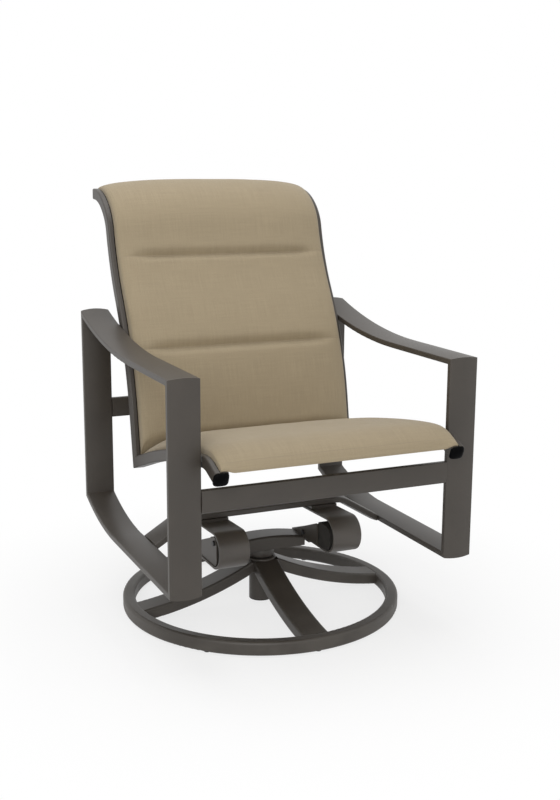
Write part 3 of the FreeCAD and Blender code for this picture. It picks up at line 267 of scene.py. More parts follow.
def moulded(name, colour, roughness, grain, shine=0.3):
    """Moulded plastic or rubber: a fine even grain, with faint lighter blooms and scuffs near the floor."""
    made, at = new_finish(name)
    place = at.node("TexCoord", {}, {}, "Object")
    height = at.node("SeparateXYZ", {}, {"Vector": place}, "Z")
    bloom = at.node("TexNoise", {}, {"Vector": place, "Scale": 45.0, "Detail": 4.0})
    spark = at.node("TexNoise", {}, {"Vector": place, "Scale": grain, "Detail": 2.0})
    scuff = (1.0 - height.rising(0.0, 0.005)) * bloom.rising(0.4, 0.6)
    body = bloom.rising(0.35, 0.75).blend(shade(colour, 0.85), shade(colour, 1.5))
    values = {
        "Base Color": (scuff * 0.6).blend(body, SCUFF),
        "Roughness": roughness + bloom * 0.12,
        "Specular IOR Level": shine,
        "Normal": at.node("Bump", {}, {"Height": spark, "Strength": 0.4, "Distance": 0.0001}),
    }
    at.node("OutputMaterial", {}, {"Surface": at.node("BsdfPrincipled", {}, values)})
    return made


black_nylon = moulded("black_nylon", NYLON, 0.42, 1500.0)
give(black_nylon, "glides", "post_cap", "upper_bush", "lower_bush", "thrust_washer")


# Bearing. A turned spindle of bare metal runs in the two nylon bushes and a thrust washer carries it; a
# spring clip under the lower bush keeps it in the post.

MILL = (0.42, 0.42, 0.41)


def turned_metal(name, colour):
    """Machined metal: rings left by the tool, as noise drawn out to thin layers along the axis."""
    made, at = new_finish(name)
    place = at.node("TexCoord", {}, {}, "Object")
    layers = at.node("Mapping", {}, {"Vector": place, "Scale": (40.0, 40.0, 2500.0)})
    rings = at.node("TexNoise", {}, {"Vector": layers, "Scale": 1.0, "Detail": 2.0})
    stain = at.node("TexNoise", {}, {"Vector": place, "Scale": 60.0, "Detail": 3.0})
    values = {
        "Base Color": stain.rising(0.3, 0.8).blend(shade(colour, 1.05), shade(colour, 0.7)),
        "Roughness": 0.28 + rings * 0.2,
        "Metallic": 1.0,
        "Normal": at.node("Bump", {}, {"Height": rings, "Strength": 0.25, "Distance": 0.00005}),
    }
    at.node("OutputMaterial", {}, {"Surface": at.node("BsdfPrincipled", {}, values)})
    return made


mill_metal = turned_metal("turned_metal", MILL)
give(mill_metal, "spindle", "spindle_clip")


# Bearing cover. A pressed cup, powder coated, is welded under the yoke and hides the thrust washer; it
# turns with the yoke, 2 mm clear of the hub.

COVER_RADIUS = 0.0308
COVER_WALL = 0.002
COVER_LOW = 0.1190
COVER_HIGH = 0.1368
COVER_BORE = 0.0245
SHELL_STEPS = 72
SWIVEL_Y = 0.01907


def new_piece(name, points, faces, finish, places=None):
    """A smooth mesh object from points and faces, with a UV map if places has a (u, v) for each point."""
    mesh = bpy.data.meshes.new(name)
    mesh.from_pydata(points.tolist(), [], faces)
    mesh.polygons.foreach_set("use_smooth", np.ones(len(mesh.polygons), bool))
    if places is not None:
        corners = np.empty(len(mesh.loops), np.int32)
        mesh.loops.foreach_get("vertex_index", corners)
        mesh.uv_layers.new(name="weave").data.foreach_set("uv", places[corners].ravel())
    mesh.materials.append(finish)
    mesh.update()
    piece = bpy.data.objects.new(name, mesh)
    scene.collection.objects.link(piece)
    return piece


def turned_shell(name, profile, centre_y, finish):
    """A closed profile of (radius, height) points carried round the swivel's axis in even steps."""
    profile = np.array(profile, float)
    turn = np.linspace(0.0, 2.0 * math.pi, SHELL_STEPS + 1)[:-1, None]
    x = profile[None, :, 0] * np.cos(turn)
    y = profile[None, :, 0] * np.sin(turn) + centre_y
    z = np.broadcast_to(profile[None, :, 1], x.shape)
    index = np.arange(x.size).reshape(x.shape)
    beside = np.roll(index, -1, axis=0)
    above, beside_above = np.roll(index, -1, axis=1), np.roll(beside, -1, axis=1)
    quads = np.stack([index, above, beside_above, beside], axis=-1).reshape(-1, 4)
    return new_piece(name, np.stack([x, y, z], axis=-1).reshape(-1, 3), quads.tolist(), finish)


cover_inside = COVER_RADIUS - COVER_WALL
cover_profile = [
    (COVER_BORE, COVER_HIGH),
    (COVER_RADIUS - 0.0025, COVER_HIGH),
    (COVER_RADIUS - 0.0008, COVER_HIGH - 0.0007),
    (COVER_RADIUS, COVER_HIGH - 0.0022),
    (COVER_RADIUS, COVER_LOW + 0.0008),
    (COVER_RADIUS - 0.0005, COVER_LOW),
    (cover_inside + 0.0005, COVER_LOW),
    (cover_inside, COVER_LOW + 0.0008),
    (cover_inside, COVER_HIGH - COVER_WALL),
    (COVER_BORE, COVER_HIGH - COVER_WALL),
]
bearing_cover = turned_shell("bearing_cover", cover_profile, SWIVEL_Y, bronze_coat)
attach(bearing_cover, "swivel")


# Yoke and spring brackets. Folded sheet, welded under the arch of the yoke and powder coated like the
# base. The brackets' cheeks hold the springs' lower legs and the bumpers between them.

give(bronze_coat, "yoke", "spring_bracket_left", "spring_bracket_right", "spring_clamp_left",
     "spring_clamp_right")


# Bumpers. Two blocks of black moulded rubber between each bracket's cheeks, which stop the chair softly
# when it rocks forward.

RUBBER = (0.026, 0.024, 0.021)

black_rubber = moulded("black_rubber", RUBBER, 0.66, 900.0)
give(black_rubber, "spring_bumper_left", "spring_bumper_right")


# Bolts and pins. Hexagon heads and shanks of steel with a black coat, a little rubbed to grey.

def black_steel(name):
    """Blackened steel: a thin coat, rubbed through to dull grey in small patches."""
    made, at = new_finish(name)
    place = at.node("TexCoord", {}, {}, "Object")
    rub = at.node("TexNoise", {}, {"Vector": place, "Scale": 320.0, "Detail": 4.0})
    worn = rub.rising(0.58, 0.72)
    values = {
        "Base Color": worn.blend((0.014, 0.014, 0.015, 1.0), (0.10, 0.10, 0.10, 1.0)),
        "Roughness": 0.36 + rub * 0.2,
        "Metallic": worn * 0.8,
        "Normal": at.node("Bump", {}, {"Height": rub, "Strength": 0.2, "Distance": 0.00005}),
    }
    at.node("OutputMaterial", {}, {"Surface": at.node("BsdfPrincipled", {}, values)})
    return made


bolt_black = black_steel("black_steel")
give(bolt_black, "bracket_pins", "lower_spring_bolts", "upper_spring_bolts", "rail_bolts", "rail_spacers")


# C springs. Each is a strip of spring steel 72 mm wide and 6 mm thick with rolled edges, bent round 39 mm.
# Its lower leg is bolted between the bracket's cheeks and its upper leg under the brace. Their coat is
# painted lighter than the frame's, as painted light standing in for the light under the seat.

SPRING_X = 0.1385
SPRING_WIDTH = 0.072
SPRING_SHEET = 0.006
SPRING_EDGE = 0.0022
SPRING_TIP = 0.009
SPRING_START = (0.018 + SWIVEL_Y, 0.155)
SPRING_RUNS = ((0.1556, 0.0), (0.039, -182.5), (0.140, 0.0))
# Painted light: the springs' coat is made lighter than COAT to stand in for light under the seat.
SPRING_COAT_PAINTED_LIGHTER = (0.076, 0.066, 0.057)


def along(start, heading, runs, distance):
    """Places (y, z) and headings on a path of straights and bends, for an array of distances.

    Each run adds what is gone along it: a straight adds its length along the heading, and a bend of radius
    r adds r times the change of (sin, -cos) of the heading, which turns by length over r.
    """
    distance = np.asarray(distance, float)
    angle = np.full(distance.shape, math.radians(heading))
    y = np.full(distance.shape, float(start[0]))
    z = np.full(distance.shape, float(start[1]))
    gone = 0.0
    for size, turn in runs:
        length = size if turn == 0 else size * math.radians(abs(turn))
        here = np.clip(distance - gone, 0.0, length)
        if turn == 0:
            y = y + here * np.cos(angle)
            z = z + here * np.sin(angle)
        else:
            sign = math.copysign(1.0, turn)
            after = angle + sign * here / size
            y = y + sign * size * (np.sin(after) - np.sin(angle))
            z = z - sign * size * (np.cos(after) - np.cos(angle))
            angle = after
        gone += length
    return y, z, angle


def path_length(runs):
    return sum(size if turn == 0 else size * math.radians(abs(turn)) for size, turn in runs)


def strip(name, middle_x, finish):
    """A flat bar carried along the spring's line.

    Its section is a rectangle with corners rounded to SPRING_EDGE. Near both ends the half width draws in
    along a circle of radius SPRING_TIP, so that the strip's corners are round in plan.
    """
    total = path_length(SPRING_RUNS)
    tip = SPRING_TIP * (1.0 - np.cos(np.linspace(0.0, math.pi / 2, 7)))
    body = np.linspace(SPRING_TIP, total - SPRING_TIP, 110)[1:-1]
    distance = np.concatenate([tip, body, total - tip[::-1]])
    y, z, angle = along(SPRING_START, 180.0, SPRING_RUNS, distance)
    inner = np.minimum(np.minimum(distance, total - distance) / SPRING_TIP, 1.0)
    drawn_in = SPRING_TIP * (1.0 - np.sqrt(1.0 - (1.0 - inner) ** 2))
    bend = np.linspace(0.0, math.pi / 2, 5)
    quarter = np.arange(4)[:, None] * math.pi / 2 + bend[None, :]
    sign_x = np.array([1.0, -1.0, -1.0, 1.0])[:, None]
    sign_n = np.array([1.0, 1.0, -1.0, -1.0])[:, None]
    flat_x = (sign_x * (SPRING_WIDTH / 2 - SPRING_EDGE) + SPRING_EDGE * np.cos(quarter)).ravel()
    high = (sign_n * (SPRING_SHEET / 2 - SPRING_EDGE) + SPRING_EDGE * np.sin(quarter)).ravel()
    x = middle_x + flat_x[None, :] - np.sign(flat_x)[None, :] * drawn_in[:, None]
    points = np.stack([x, y[:, None] - high[None, :] * np.sin(angle)[:, None],
                       z[:, None] + high[None, :] * np.cos(angle)[:, None]], axis=-1)
    rows, columns = x.shape
    index = np.arange(rows * columns).reshape(rows, columns)
    following = np.roll(index, -1, axis=1)
    quads = np.stack([index[:-1], index[1:], following[1:], following[:-1]], axis=-1).reshape(-1, 4)
    faces = quads.tolist() + [index[0].tolist(), index[-1, ::-1].tolist()]
    return new_piece(name, points.reshape(-1, 3), faces, finish)


# Painted light: a lighter copy of the frame's powder coat, for the springs in the shade under the seat.
spring_coat_painted_lighter = powder_coat("spring_powder_coat_painted_lighter", SPRING_COAT_PAINTED_LIGHTER, 0.38)
for side, sign in (("left", -1), ("right", 1)):
    spring = strip("c_spring_strip_" + side, sign * SPRING_X, spring_coat_painted_lighter)
    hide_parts("c_spring_" + side)
    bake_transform(spring)


# Brace, side frames and cross rails. Flat oval tube with crowned faces, mitred and welded into loops,
# and powder coated. The brace bridges the springs and carries both side frames.

give(bronze_coat, "arched_brace", "spring_pad_left", "spring_pad_right", "front_cross_rail",
     "rear_cross_rail", "front_leg_left", "front_leg_right", "arm_left", "arm_right", "rear_upright_left",
     "rear_upright_right", "runner_left", "runner_right")


# Sling rails and spreader bars. Extruded rails with a groove for the sling's beaded edge, bent to the
# sitter's back and knees; round bars hold them apart. Powder coated like the frame.

give(bronze_coat, "seat_rail_left", "seat_rail_right", "back_rail_left", "back_rail_right",
     "front_spreader_bar", "corner_spreader_bar", "top_spreader_bar", "top_caps")


# Rail end caps and beading. The caps at the knees are black moulded plugs with a domed nose, pushed into
# the seat rails' ends; the beading is a black round cord of plastic sewn into the sling's edge.

CAP_BLACK = (0.002, 0.002, 0.0022)

cap_plastic = moulded("black_cap_plastic", CAP_BLACK, 0.42, 1100.0, 0.03)
give(cap_plastic, "front_caps", "keder_rods")

CAP_MIDDLE_X = 0.265
CAP_HALF = (0.0160, 0.0145)
CAP_LENGTH = 0.0095
CAP_COLLAR = 0.0015
CAP_SLOPE = math.radians(20.75)
CAP_PLACE = (-0.4236 + SWIVEL_Y, 0.4535)
CAP_DEPTH = 0.0155
CAP_RINGS = 15
CAP_STEPS = 64


def domed_cap(name, middle_x, finish):
    """A round-nosed cap over a rail's end, its middle CAP_DEPTH below the rail's face.

    Its outline is a superellipse |a|^n + |b|^n = 1, which goes from n = 4.5 at the rail to n = 2.3 at the
    nose. Meanwhile it moves out by the sine of an angle and shrinks by its cosine to the power 0.75.
    """
    rise = np.linspace(0.0, math.pi / 2, CAP_RINGS)[:, None]
    power = 2.3 + 2.2 * np.cos(rise) ** 3
    turn = np.linspace(0.0, 2.0 * math.pi, CAP_STEPS + 1)[:-1][None, :]
    reach = (np.abs(np.cos(turn)) ** power + np.abs(np.sin(turn)) ** power) ** (-1.0 / power)
    size = np.concatenate([np.ones((1, 1)), np.cos(rise) ** 0.75])
    reach = np.concatenate([reach[:1], reach])
    out = np.concatenate([[[-CAP_COLLAR]], CAP_LENGTH * np.sin(rise)])

    def placed(a, b, out):
        y = CAP_PLACE[0] - out * math.cos(CAP_SLOPE) - b * math.sin(CAP_SLOPE)
        z = CAP_PLACE[1] - out * math.sin(CAP_SLOPE) + b * math.cos(CAP_SLOPE)
        return np.stack(np.broadcast_arrays(middle_x + a, y, z), axis=-1)

    rim = placed(CAP_HALF[0] * reach * np.cos(turn) * size,
                 CAP_HALF[1] * reach * np.sin(turn) * size - CAP_DEPTH, out)[:-1]
    rows, columns = rim.shape[:2]
    index = np.arange(rows * columns).reshape(rows, columns)
    beside = np.roll(index, -1, axis=1)
    quads = np.stack([index[:-1], beside[:-1], beside[1:], index[1:]], axis=-1).reshape(-1, 4)
    nose = placed(0.0, -CAP_DEPTH, CAP_LENGTH).reshape(1, 3)
    fan = np.stack([index[-1], beside[-1], np.full(columns, rows * columns)], axis=-1)
    faces = quads.tolist() + fan.tolist() + [index[0, ::-1].tolist()]
    return new_piece(name, np.concatenate([rim.reshape(-1, 3), nose]), faces, finish)


for side, sign in (("left", -1), ("right", 1)):
    cap = domed_cap("front_cap_" + side, sign * CAP_MIDDLE_X, cap_plastic)
    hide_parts("front_caps")
    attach(cap, "chair")


# Padded sling cloth. Plain-woven tan yarn about a millimetre thick, paler along and browner across, with
# slubs that run on for a few centimetres. Two layers hold thin foam and are sewn through.

YARN_PITCH = 0.0013
YARN_ALONG = (0.408, 0.333, 0.220)
YARN_ACROSS = (0.340, 0.271, 0.173)
THREAD = (0.30, 0.245, 0.165)
STITCH = 0.0036


def sling_cloth(name, seams):
    """Woven cloth on the piece's own map, in metres: u across the chair and v along the sling.

    The weave is the product of two waves, one a yarn, shifted by half a turn from row to row. Slubs are
    noise drawn out along each yarn. The hollows between the yarns are painted darker, as painted shade.
    Stitches are dashes in u where v is near a seam.
    """
    made, at = new_finish(name)
    place = at.node("UVMap", {"uv_map": "weave"}, {})
    u = at.node("SeparateXYZ", {}, {"Vector": place}, "X")
    v = at.node("SeparateXYZ", {}, {"Vector": place}, "Y")
    turn = math.pi / YARN_PITCH
    wave = at.maths("SINE", u * turn) * at.maths("SINE", v * turn)
    over = wave.rising(-0.25, 0.25)
    ridge = at.maths("ABSOLUTE", wave)
    drawn_v = at.node("Mapping", {}, {"Vector": place, "Scale": (420.0, 14.0, 1.0)})
    slub_v = at.node("TexNoise", {}, {"Vector": drawn_v, "Scale": 1.0, "Detail": 2.0})
    drawn_u = at.node("Mapping", {}, {"Vector": place, "Scale": (12.0, 380.0, 1.0)})
    slub_u = at.node("TexNoise", {}, {"Vector": drawn_u, "Scale": 1.0, "Detail": 2.0})
    fading = at.node("TexNoise", {}, {"Vector": place, "Scale": 7.0, "Detail": 3.0})
    warp = slub_v.rising(0.2, 0.8).blend(shade(YARN_ALONG, 0.89), shade(YARN_ALONG, 1.09))
    weft = slub_u.rising(0.2, 0.8).blend(shade(YARN_ACROSS, 0.90), shade(YARN_ACROSS, 1.10))
    woven = over.blend(weft, warp)
    # Painted shade: the hollows between the yarns are darkened towards a dark weft colour.
    hollow = (1.0 - ridge.rising(0.0, 0.35)) * 0.30
    cloth = hollow.blend(woven, shade(YARN_ACROSS, 0.45))
    aged = (fading.rising(0.35, 0.7) * 0.10).blend(cloth, shade(YARN_ALONG, 0.72))
    sewn = u * 0.0
    for seam in seams:
        off = at.maths("ABSOLUTE", v - seam)
        dash = at.maths("PINGPONG", u, STITCH / 2).rising(0.0003, 0.0006)
        sewn = sewn + (1.0 - off.rising(0.0004, 0.0008)) * dash
    values = {
        "Base Color": sewn.blend(aged, THREAD + (1.0,)),
        "Roughness": 0.72 + ridge * 0.12,
        "Specular IOR Level": 0.3,
        "Sheen Weight": 0.15,
        "Sheen Roughness": 0.5,
        "Normal": at.node("Bump", {}, {"Height": ridge + sewn * 1.5 + slub_v * 0.6, "Strength": 0.45,
                                       "Distance": 0.00025}),
    }
    at.node("OutputMaterial", {}, {"Surface": at.node("BsdfPrincipled", {}, values)})
    return made


# Seat of the sling. One padded panel from the rolled hem at the knees to the crease, its sewn edges drawn
# into the rails' grooves. It is thicker towards the back, and it is stretched flat underneath.

GROOVE_X = 0.2664
MOUTH_X = 0.2658
PAD_X = 0.2655
FLANGE = 0.0008
IN_GROOVE = -0.0022
CORNER = (0.0821 + SWIVEL_Y, 0.3675)
CREASE = math.radians(90.0 + 26.5)
CREASE_GAP = 0.0003
HEM_INSET = 0.002
SEAT_START = (-0.4236 + HEM_INSET * math.cos(CAP_SLOPE) + SWIVEL_Y,
              0.4535 + HEM_INSET * math.sin(CAP_SLOPE))
SEAT_RUNS = ((0.0363, 0.0), (0.0842, -27.22), (1.731, -12.39), (0.0698, 0.0))
SEAT_HEIGHTS = ((0.0, 0.007), (0.008, 0.0125), (0.016, 0.016), (0.042, 0.020), (0.080, 0.022),
                (0.240, 0.026), (0.400, 0.032), (0.5204, 0.035))
HEM_STITCH = 0.014
HEM_DROP = 0.0065
HEM_DROP_ENDS = 0.2600
HEM_DROP_EASE = 0.026
HEM_DROP_REACH = 0.016
VALLEY_ABOVE = 0.0115
VALLEY_BELOW = 0.010
VALLEY_SHARE = 0.40
VALLEY_FADES = 0.180
VALLEY_FADE = 0.078
UNDER_HALF = 0.2495
UNDER_GAP = 0.0004
UNDER_SAG = 0.0020
ROW_STEP = 0.009


def columns_across():
    """Places across the sling: close together over the sewn edge and the side, wider in the middle."""
    edge = [GROOVE_X, MOUTH_X, 0.2653, 0.2645, 0.2620, 0.2580, 0.2520, 0.2450, 0.2375]
    middle = np.linspace(-0.2300, 0.2300, 59)
    return np.concatenate([-np.array(edge), middle, np.array(edge[::-1])])


def rows_along(total, seams):
    """Distances along a path, 9 mm apart, and closer together towards each seam."""
    fine = np.linspace(0.0, total, 4001)
    close = np.ones_like(fine)
    for seam in seams:
        close = close + 1.9 * np.exp(-((fine - seam) / 0.022) ** 2)
    steps = np.concatenate([[0.0], np.cumsum((close[1:] + close[:-1]) / 2)]) * (total / 4000) / ROW_STEP
    return np.interp(np.linspace(0.0, steps[-1], int(round(steps[-1])) + 1), steps, fine)


def eased(values, passes):
    """Each row moved towards the middle of its two neighbours, a few times; the end rows stay."""
    for _ in range(passes):
        values = values.copy()
        values[1:-1] = values[1:-1] * 0.5 + (values[:-2] + values[2:]) * 0.25
    return values


def pad_grids(start, heading, runs, heights, seams, crease_first, crease_last, squareness, roundness, drop):
    """Upper and lower skins of a pad, as grids of points, rows along the sling and columns across.

    A row's foot is on the rail's face. Its top stands off the face by the height there, square to the face
    and leaning over to the crease's plane near a creased end; the ends drop back to the face. Across the
    chair the height falls off as (1 - |x/a|^n)^(1/m), and the sewn edge beyond it is thin and goes into
    the groove. A seam takes part of the height away along a valley, steeper on its lower side. Between
    the rails the first end may hang lower than the rail's face.
    """
    total = path_length(runs)
    distance = rows_along(total, seams)
    y, z, angle = along(start, heading, runs, distance)
    height = np.interp(distance, *zip(*heights))
    valley = np.zeros_like(distance)
    for seam in seams:
        off = distance - seam
        valley = valley + np.exp(-(off / np.where(off > 0.0, VALLEY_ABOVE, VALLEY_BELOW)) ** 2)
    square = angle + math.pi / 2
    lean = np.zeros_like(distance)
    for creased, gone in ((crease_first, distance), (crease_last, total - distance)):
        if creased:
            share = np.clip(1.0 - gone / 0.13, 0.0, 1.0)
            lean = lean + (CREASE - square) * share * share * (3.0 - 2.0 * share)
    reach = height / np.cos(lean)
    top_y = reach * np.cos(square + lean)
    top_z = reach * np.sin(square + lean)
    first = np.linspace(0.0, 1.0, 7 if crease_first else 4)[:-1]
    last = np.linspace(1.0, 0.0, 7 if crease_last else 4)[1:]
    foot = np.stack([y, z], axis=-1)
    top = np.stack([top_y, top_z], axis=-1)
    foot = np.concatenate([np.repeat(foot[:1], len(first), 0), foot, np.repeat(foot[-1:], len(last), 0)])
    top = np.concatenate([first[:, None] * top[:1], top, last[:, None] * top[-1:]])
    normal = np.stack([np.cos(square), np.sin(square)], axis=-1)
    normal = np.concatenate([np.repeat(normal[:1], len(first), 0), normal,
                             np.repeat(normal[-1:], len(last), 0)])
    dip = np.concatenate([np.zeros(len(first)), valley, np.zeros(len(last))])
    row_at = np.concatenate([np.zeros(len(first)), distance / total, np.ones(len(last))])
    fullness = np.interp(row_at, (0.0, 0.6, 1.0), squareness)
    outline = eased(foot + top, 3)
    top = outline - foot
    x = columns_across()
    share = np.clip(np.abs(x) / PAD_X, 0.0, 1.0)
    softness = np.interp(np.clip(row_at, 0.0, 1.0), (0.0, 0.6, 1.0), roundness)
    across = np.maximum(1.0 - share[None, :] ** fullness[:, None], 0.0) ** (1.0 / softness[:, None])
    beyond = np.clip((np.abs(x) - VALLEY_FADES) / VALLEY_FADE, 0.0, 1.0)
    inside = 1.0 - beyond * beyond * (3.0 - 2.0 * beyond)
    across = across * (1.0 - VALLEY_SHARE * dip[:, None] * inside[None, :])
    base = np.where(np.abs(x) > MOUTH_X + 0.0003, IN_GROOVE, FLANGE)
    between = np.clip((HEM_DROP_ENDS - np.abs(x)) / HEM_DROP_EASE, 0.0, 1.0)
    between = between * between * (3.0 - 2.0 * between)
    sag = drop * np.exp(-row_at * total / HEM_DROP_REACH)[:, None] * between[None, :]
    flat = foot[:, None, :] + normal[:, None, :] * (base[None, :] - sag)[:, :, None]
    upper = flat + top[:, None, :] * across[:, :, None]
    arc = np.concatenate([[0.0], np.cumsum(np.linalg.norm(np.diff(outline, axis=0), axis=1))])
    low_y, low_z, low_angle = along(start, heading, runs, arc / arc[-1] * total)
    hollow = UNDER_GAP - UNDER_SAG * (1.0 - (np.abs(x) / UNDER_HALF) ** 4)
    hang = np.where(np.abs(x) > UNDER_HALF, UNDER_GAP, hollow)
    low_at = arc / arc[-1] * total
    hang = hang[None, :] - (sag[0][None, :] * np.exp(-low_at / HEM_DROP_REACH)[:, None])
    lower = np.stack([low_y[:, None] - hang * np.sin(low_angle)[:, None],
                      low_z[:, None] + hang * np.cos(low_angle)[:, None]], axis=-1)
    lower[[0, -1]] = upper[[0, -1]]
    lower[:, [0, -1]] = upper[:, [0, -1]]
    spread = np.broadcast_to(x[None, :], across.shape)
    upper = np.concatenate([spread[..., None], upper], axis=-1)
    lower = np.concatenate([spread[..., None], lower], axis=-1)
    before = -(1.0 - first) * np.linalg.norm(top[len(first)])
    after = total + (1.0 - last) * np.linalg.norm(top[-len(last) - 1])
    return upper, lower, np.concatenate([before, distance, after])


def skin_faces(rows, columns):
    """Faces of a closed skin: an upper and a lower grid that share their rim, both facing outwards."""
    upper = np.arange(rows * columns).reshape(rows, columns)
    lower = upper.copy()
    lower[1:-1, 1:-1] = rows * columns + np.arange((rows - 2) * (columns - 2)).reshape(rows - 2, columns - 2)
    above = np.stack([upper[:-1, :-1], upper[:-1, 1:], upper[1:, 1:], upper[1:, :-1]], axis=-1)
    below = np.stack([lower[:-1, :-1], lower[1:, :-1], lower[1:, 1:], lower[:-1, 1:]], axis=-1)
    return np.concatenate([above.reshape(-1, 4), below.reshape(-1, 4)]).tolist()


def as_points(upper, lower):
    """The grids as one list of points: all of the upper one, then the lower one without its rim."""
    return np.concatenate([upper.reshape(-1, 3), lower[1:-1, 1:-1].reshape(-1, 3)])


CLOTH_FRAMES = 20
CLOTH_PRESSURE = 4.0
CLOTH_SHRINK = -0.012


def swollen(upper, lower, held, most):
    """Both skins after the air between them has pushed them out, as cloth held at its edges and seams.

    No point moves further than the distance given for its row and column.
    """
    rows, columns = held.shape
    points = as_points(upper, lower)
    cloth = new_piece("sling_in_the_making", points, skin_faces(rows, columns), bronze_coat)
    pins = np.concatenate([held.ravel(), held[1:-1, 1:-1].ravel()])
    group = cloth.vertex_groups.new(name="sewn")
    group.add(np.flatnonzero(pins).tolist(), 1.0, "REPLACE")
    maker = cloth.modifiers.new("cloth", "CLOTH")
    maker.settings.quality = 6
    maker.settings.mass = 0.25
    maker.settings.tension_stiffness = 12.0
    maker.settings.compression_stiffness = 12.0
    maker.settings.shear_stiffness = 5.0
    maker.settings.bending_stiffness = 0.6
    maker.settings.shrink_min = CLOTH_SHRINK
    maker.settings.use_pressure = True
    maker.settings.uniform_pressure_force = CLOTH_PRESSURE
    maker.settings.effector_weights.gravity = 0.0
    maker.settings.vertex_group_mass = "sewn"
    maker.point_cache.frame_start = 1
    maker.point_cache.frame_end = CLOTH_FRAMES
    for number in range(1, CLOTH_FRAMES + 1):
        scene.frame_set(number)
    settled = cloth.evaluated_get(bpy.context.evaluated_depsgraph_get()).to_mesh()
    after = np.empty(len(settled.vertices) * 3, np.float32)
    settled.vertices.foreach_get("co", after)
    after = after.reshape(-1, 3).astype(float)
    bpy.data.objects.remove(cloth)
    scene.frame_set(1)
    moved = after - points
    far = np.linalg.norm(moved, axis=1)
    limit = np.concatenate([np.full(rows * columns, most[0]), np.full((rows - 2) * (columns - 2), most[1])])
    points = points + moved * np.minimum(1.0, limit / np.maximum(far, 1e-9))[:, None]
    upper = points[:rows * columns].reshape(rows, columns, 3)
    inner = points[rows * columns:].reshape(rows - 2, columns - 2, 3)
    lower = upper.copy()
    lower[1:-1, 1:-1] = inner
    return upper, lower


def finer(grid):
    """A grid with a new row between each two rows: -1, 9, 9, -1 sixteenths of the four nearest rows."""
    ends = np.concatenate([2 * grid[:1] - grid[1:2], grid, 2 * grid[-1:] - grid[-2:-1]])
    between = (-ends[:-3] + 9 * ends[1:-2] + 9 * ends[2:-1] - ends[3:]) / 16
    whole = np.empty((2 * len(grid) - 1,) + grid.shape[1:])
    whole[::2] = grid
    whole[1::2] = between
    return whole


def both_finer(grid):
    return finer(finer(grid).swapaxes(0, 1)).swapaxes(0, 1)


def outward(grid):
    """The direction square to a grid at each point, from the differences of its neighbours."""
    across = np.gradient(grid, axis=1)
    along_it = np.gradient(grid, axis=0)
    square = np.cross(across, along_it)
    return square / np.maximum(np.linalg.norm(square, axis=-1, keepdims=True), 1e-12)


def ripples(x, v, seeds, lengths):
    """A sum of plane waves of the given lengths, with directions and phases from the seed."""
    draw = np.random.default_rng(seeds)
    height = np.zeros(np.broadcast(x, v).shape)
    for length in lengths:
        turn, phase = draw.uniform(0.0, math.pi), draw.uniform(0.0, 2 * math.pi)
        height = height + np.sin(2 * math.pi * (x * math.cos(turn) + v * math.sin(turn)) / length + phase)
    return height / len(lengths)


SEWN_EDGE = 0.2640
SEAM_HALF = 0.222
RIPPLE_HEIGHT = 0.0006
RIPPLE_LENGTHS = (0.21, 0.16, 0.12, 0.09, 0.07)
GROOVE_DEPTH = 0.0020
GROOVE_WIDTH = 0.0032
PUCKER_HEIGHT = 0.0011
PUCKER_LENGTHS = (0.11, 0.083, 0.067, 0.059, 0.047)


def sling_pad(name, grids, seams, finish, most, node, seed):
    """A sewn pad: swollen as cloth, then refined, with a sewn groove and small puckers at each seam.

    The groove is a bell, exp(-(distance / GROOVE_WIDTH)^2). The puckers are short waves across the chair
    that die away from the seam and leave the seam itself level. Long shallow ripples lie over the face.
    """
    upper, lower, v = grids
    x = upper[0, :, 0]
    held = np.zeros(upper.shape[:2], bool)
    held[[0, -1]] = True
    held[:, np.abs(x) > SEWN_EDGE] = True
    for seam in seams:
        held[np.abs(v - seam) < 0.0016] |= np.abs(x) < SEAM_HALF
    upper, lower = swollen(upper, lower, held, most)
    upper, lower = both_finer(upper), both_finer(lower)
    v = finer(v)
    x = upper[0, :, 0]
    calm = np.clip((0.262 - np.abs(x)) / 0.05, 0.0, 1.0)[None, :]
    ends = np.clip((v - v[0]) / 0.06, 0.0, 1.0) * np.clip((v[-1] - v) / 0.06, 0.0, 1.0)
    press = RIPPLE_HEIGHT * ripples(x[None, :], v[:, None], seed, RIPPLE_LENGTHS) * ends[:, None]
    for count, seam in enumerate(seams):
        off = (v - seam)[:, None]
        tuck = ripples(x[None, :] * 2.0, 0.4 * v[:, None], seed + 7 + count, PUCKER_LENGTHS)
        fade = np.exp(-(np.abs(off) / 0.020) ** 1.5)
        press = press - GROOVE_DEPTH * np.exp(-(off / GROOVE_WIDTH) ** 2)
        press = press + PUCKER_HEIGHT * tuck * fade * (1.0 - np.exp(-(off / 0.005) ** 2))
    upper = upper + outward(upper) * (press * calm)[..., None]
    places = np.stack(np.broadcast_arrays(x[None, :], v[:, None]), axis=-1)
    places = np.concatenate([places.reshape(-1, 2), places[1:-1, 1:-1].reshape(-1, 2)])
    rows, columns = upper.shape[:2]
    points = kept_clear(as_points(upper, lower), name)
    pad = new_piece(name, points, skin_faces(rows, columns), finish, places)
    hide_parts(node)
    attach(pad, "chair")
    return pad


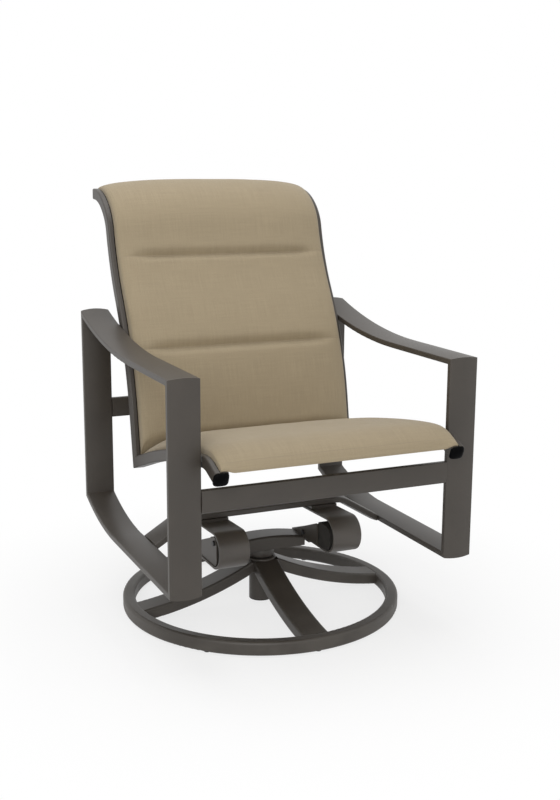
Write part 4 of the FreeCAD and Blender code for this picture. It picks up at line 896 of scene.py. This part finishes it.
CLEAR_SOFT = 0.0025
CLEAR_HALF = 0.2660


def kept_clear(points, name):
    """Points of a pad kept on its own side of the crease, where the seat and the back press together.

    A point beyond the plane is laid on it, with a smooth approach over the last few millimetres.
    """
    side = 1.0 if name.startswith("seat") else -1.0
    normal = side * np.array([math.sin(CREASE), -math.cos(CREASE)])
    beyond = (points[:, 1] - CORNER[0]) * normal[0] + (points[:, 2] - CORNER[1]) * normal[1] + CREASE_GAP
    near = np.abs(points[:, 0]) < CLEAR_HALF
    eased_by = np.where(near, CLEAR_SOFT * np.logaddexp(0.0, beyond / CLEAR_SOFT), 0.0)
    shift_by = np.minimum(eased_by, np.maximum(beyond, 0.0) + CLEAR_SOFT)
    out = points.copy()
    out[:, 1] -= shift_by * normal[0]
    out[:, 2] -= shift_by * normal[1]
    return out


seat_grids = pad_grids(SEAT_START, 20.75, SEAT_RUNS, SEAT_HEIGHTS, (), False, True, (5.5, 5.5, 5.0),
                       (4.5, 2.6, 1.1), HEM_DROP)
seat_cloth = sling_cloth("seat_sling_cloth", (HEM_STITCH,))
seat_sling = sling_pad("seat_sling", seat_grids, (), seat_cloth, (0.006, 0.0012), "seat_pad", 11)


# Back of the sling. Three padded panels between two cross seams, which are sewn through both layers and
# stop short of the sides. At the top the pad rolls over the curl of the rails, fullest in the middle.

BACK_RUNS = ((0.093, 0.0), (0.755, -21.4), (0.522, 18.3), (0.092, -25.2), (0.144, -51.5))
BACK_HEIGHTS = ((0.0, 0.034), (0.120, 0.032), (0.350, 0.031), (0.530, 0.030), (0.610, 0.036),
                (0.670, 0.030), (0.712, 0.020))
BACK_SEAMS = (0.240, 0.470)

back_grids = pad_grids(CORNER, 80.2, BACK_RUNS, BACK_HEIGHTS, BACK_SEAMS, True, False, (6.0, 5.0, 2.5),
                       (6.0, 5.0, 2.1), 0.0)
back_cloth = sling_cloth("back_sling_cloth", BACK_SEAMS)
back_sling = sling_pad("back_sling", back_grids, BACK_SEAMS, back_cloth, (0.008, 0.0012), "back_pad", 23)
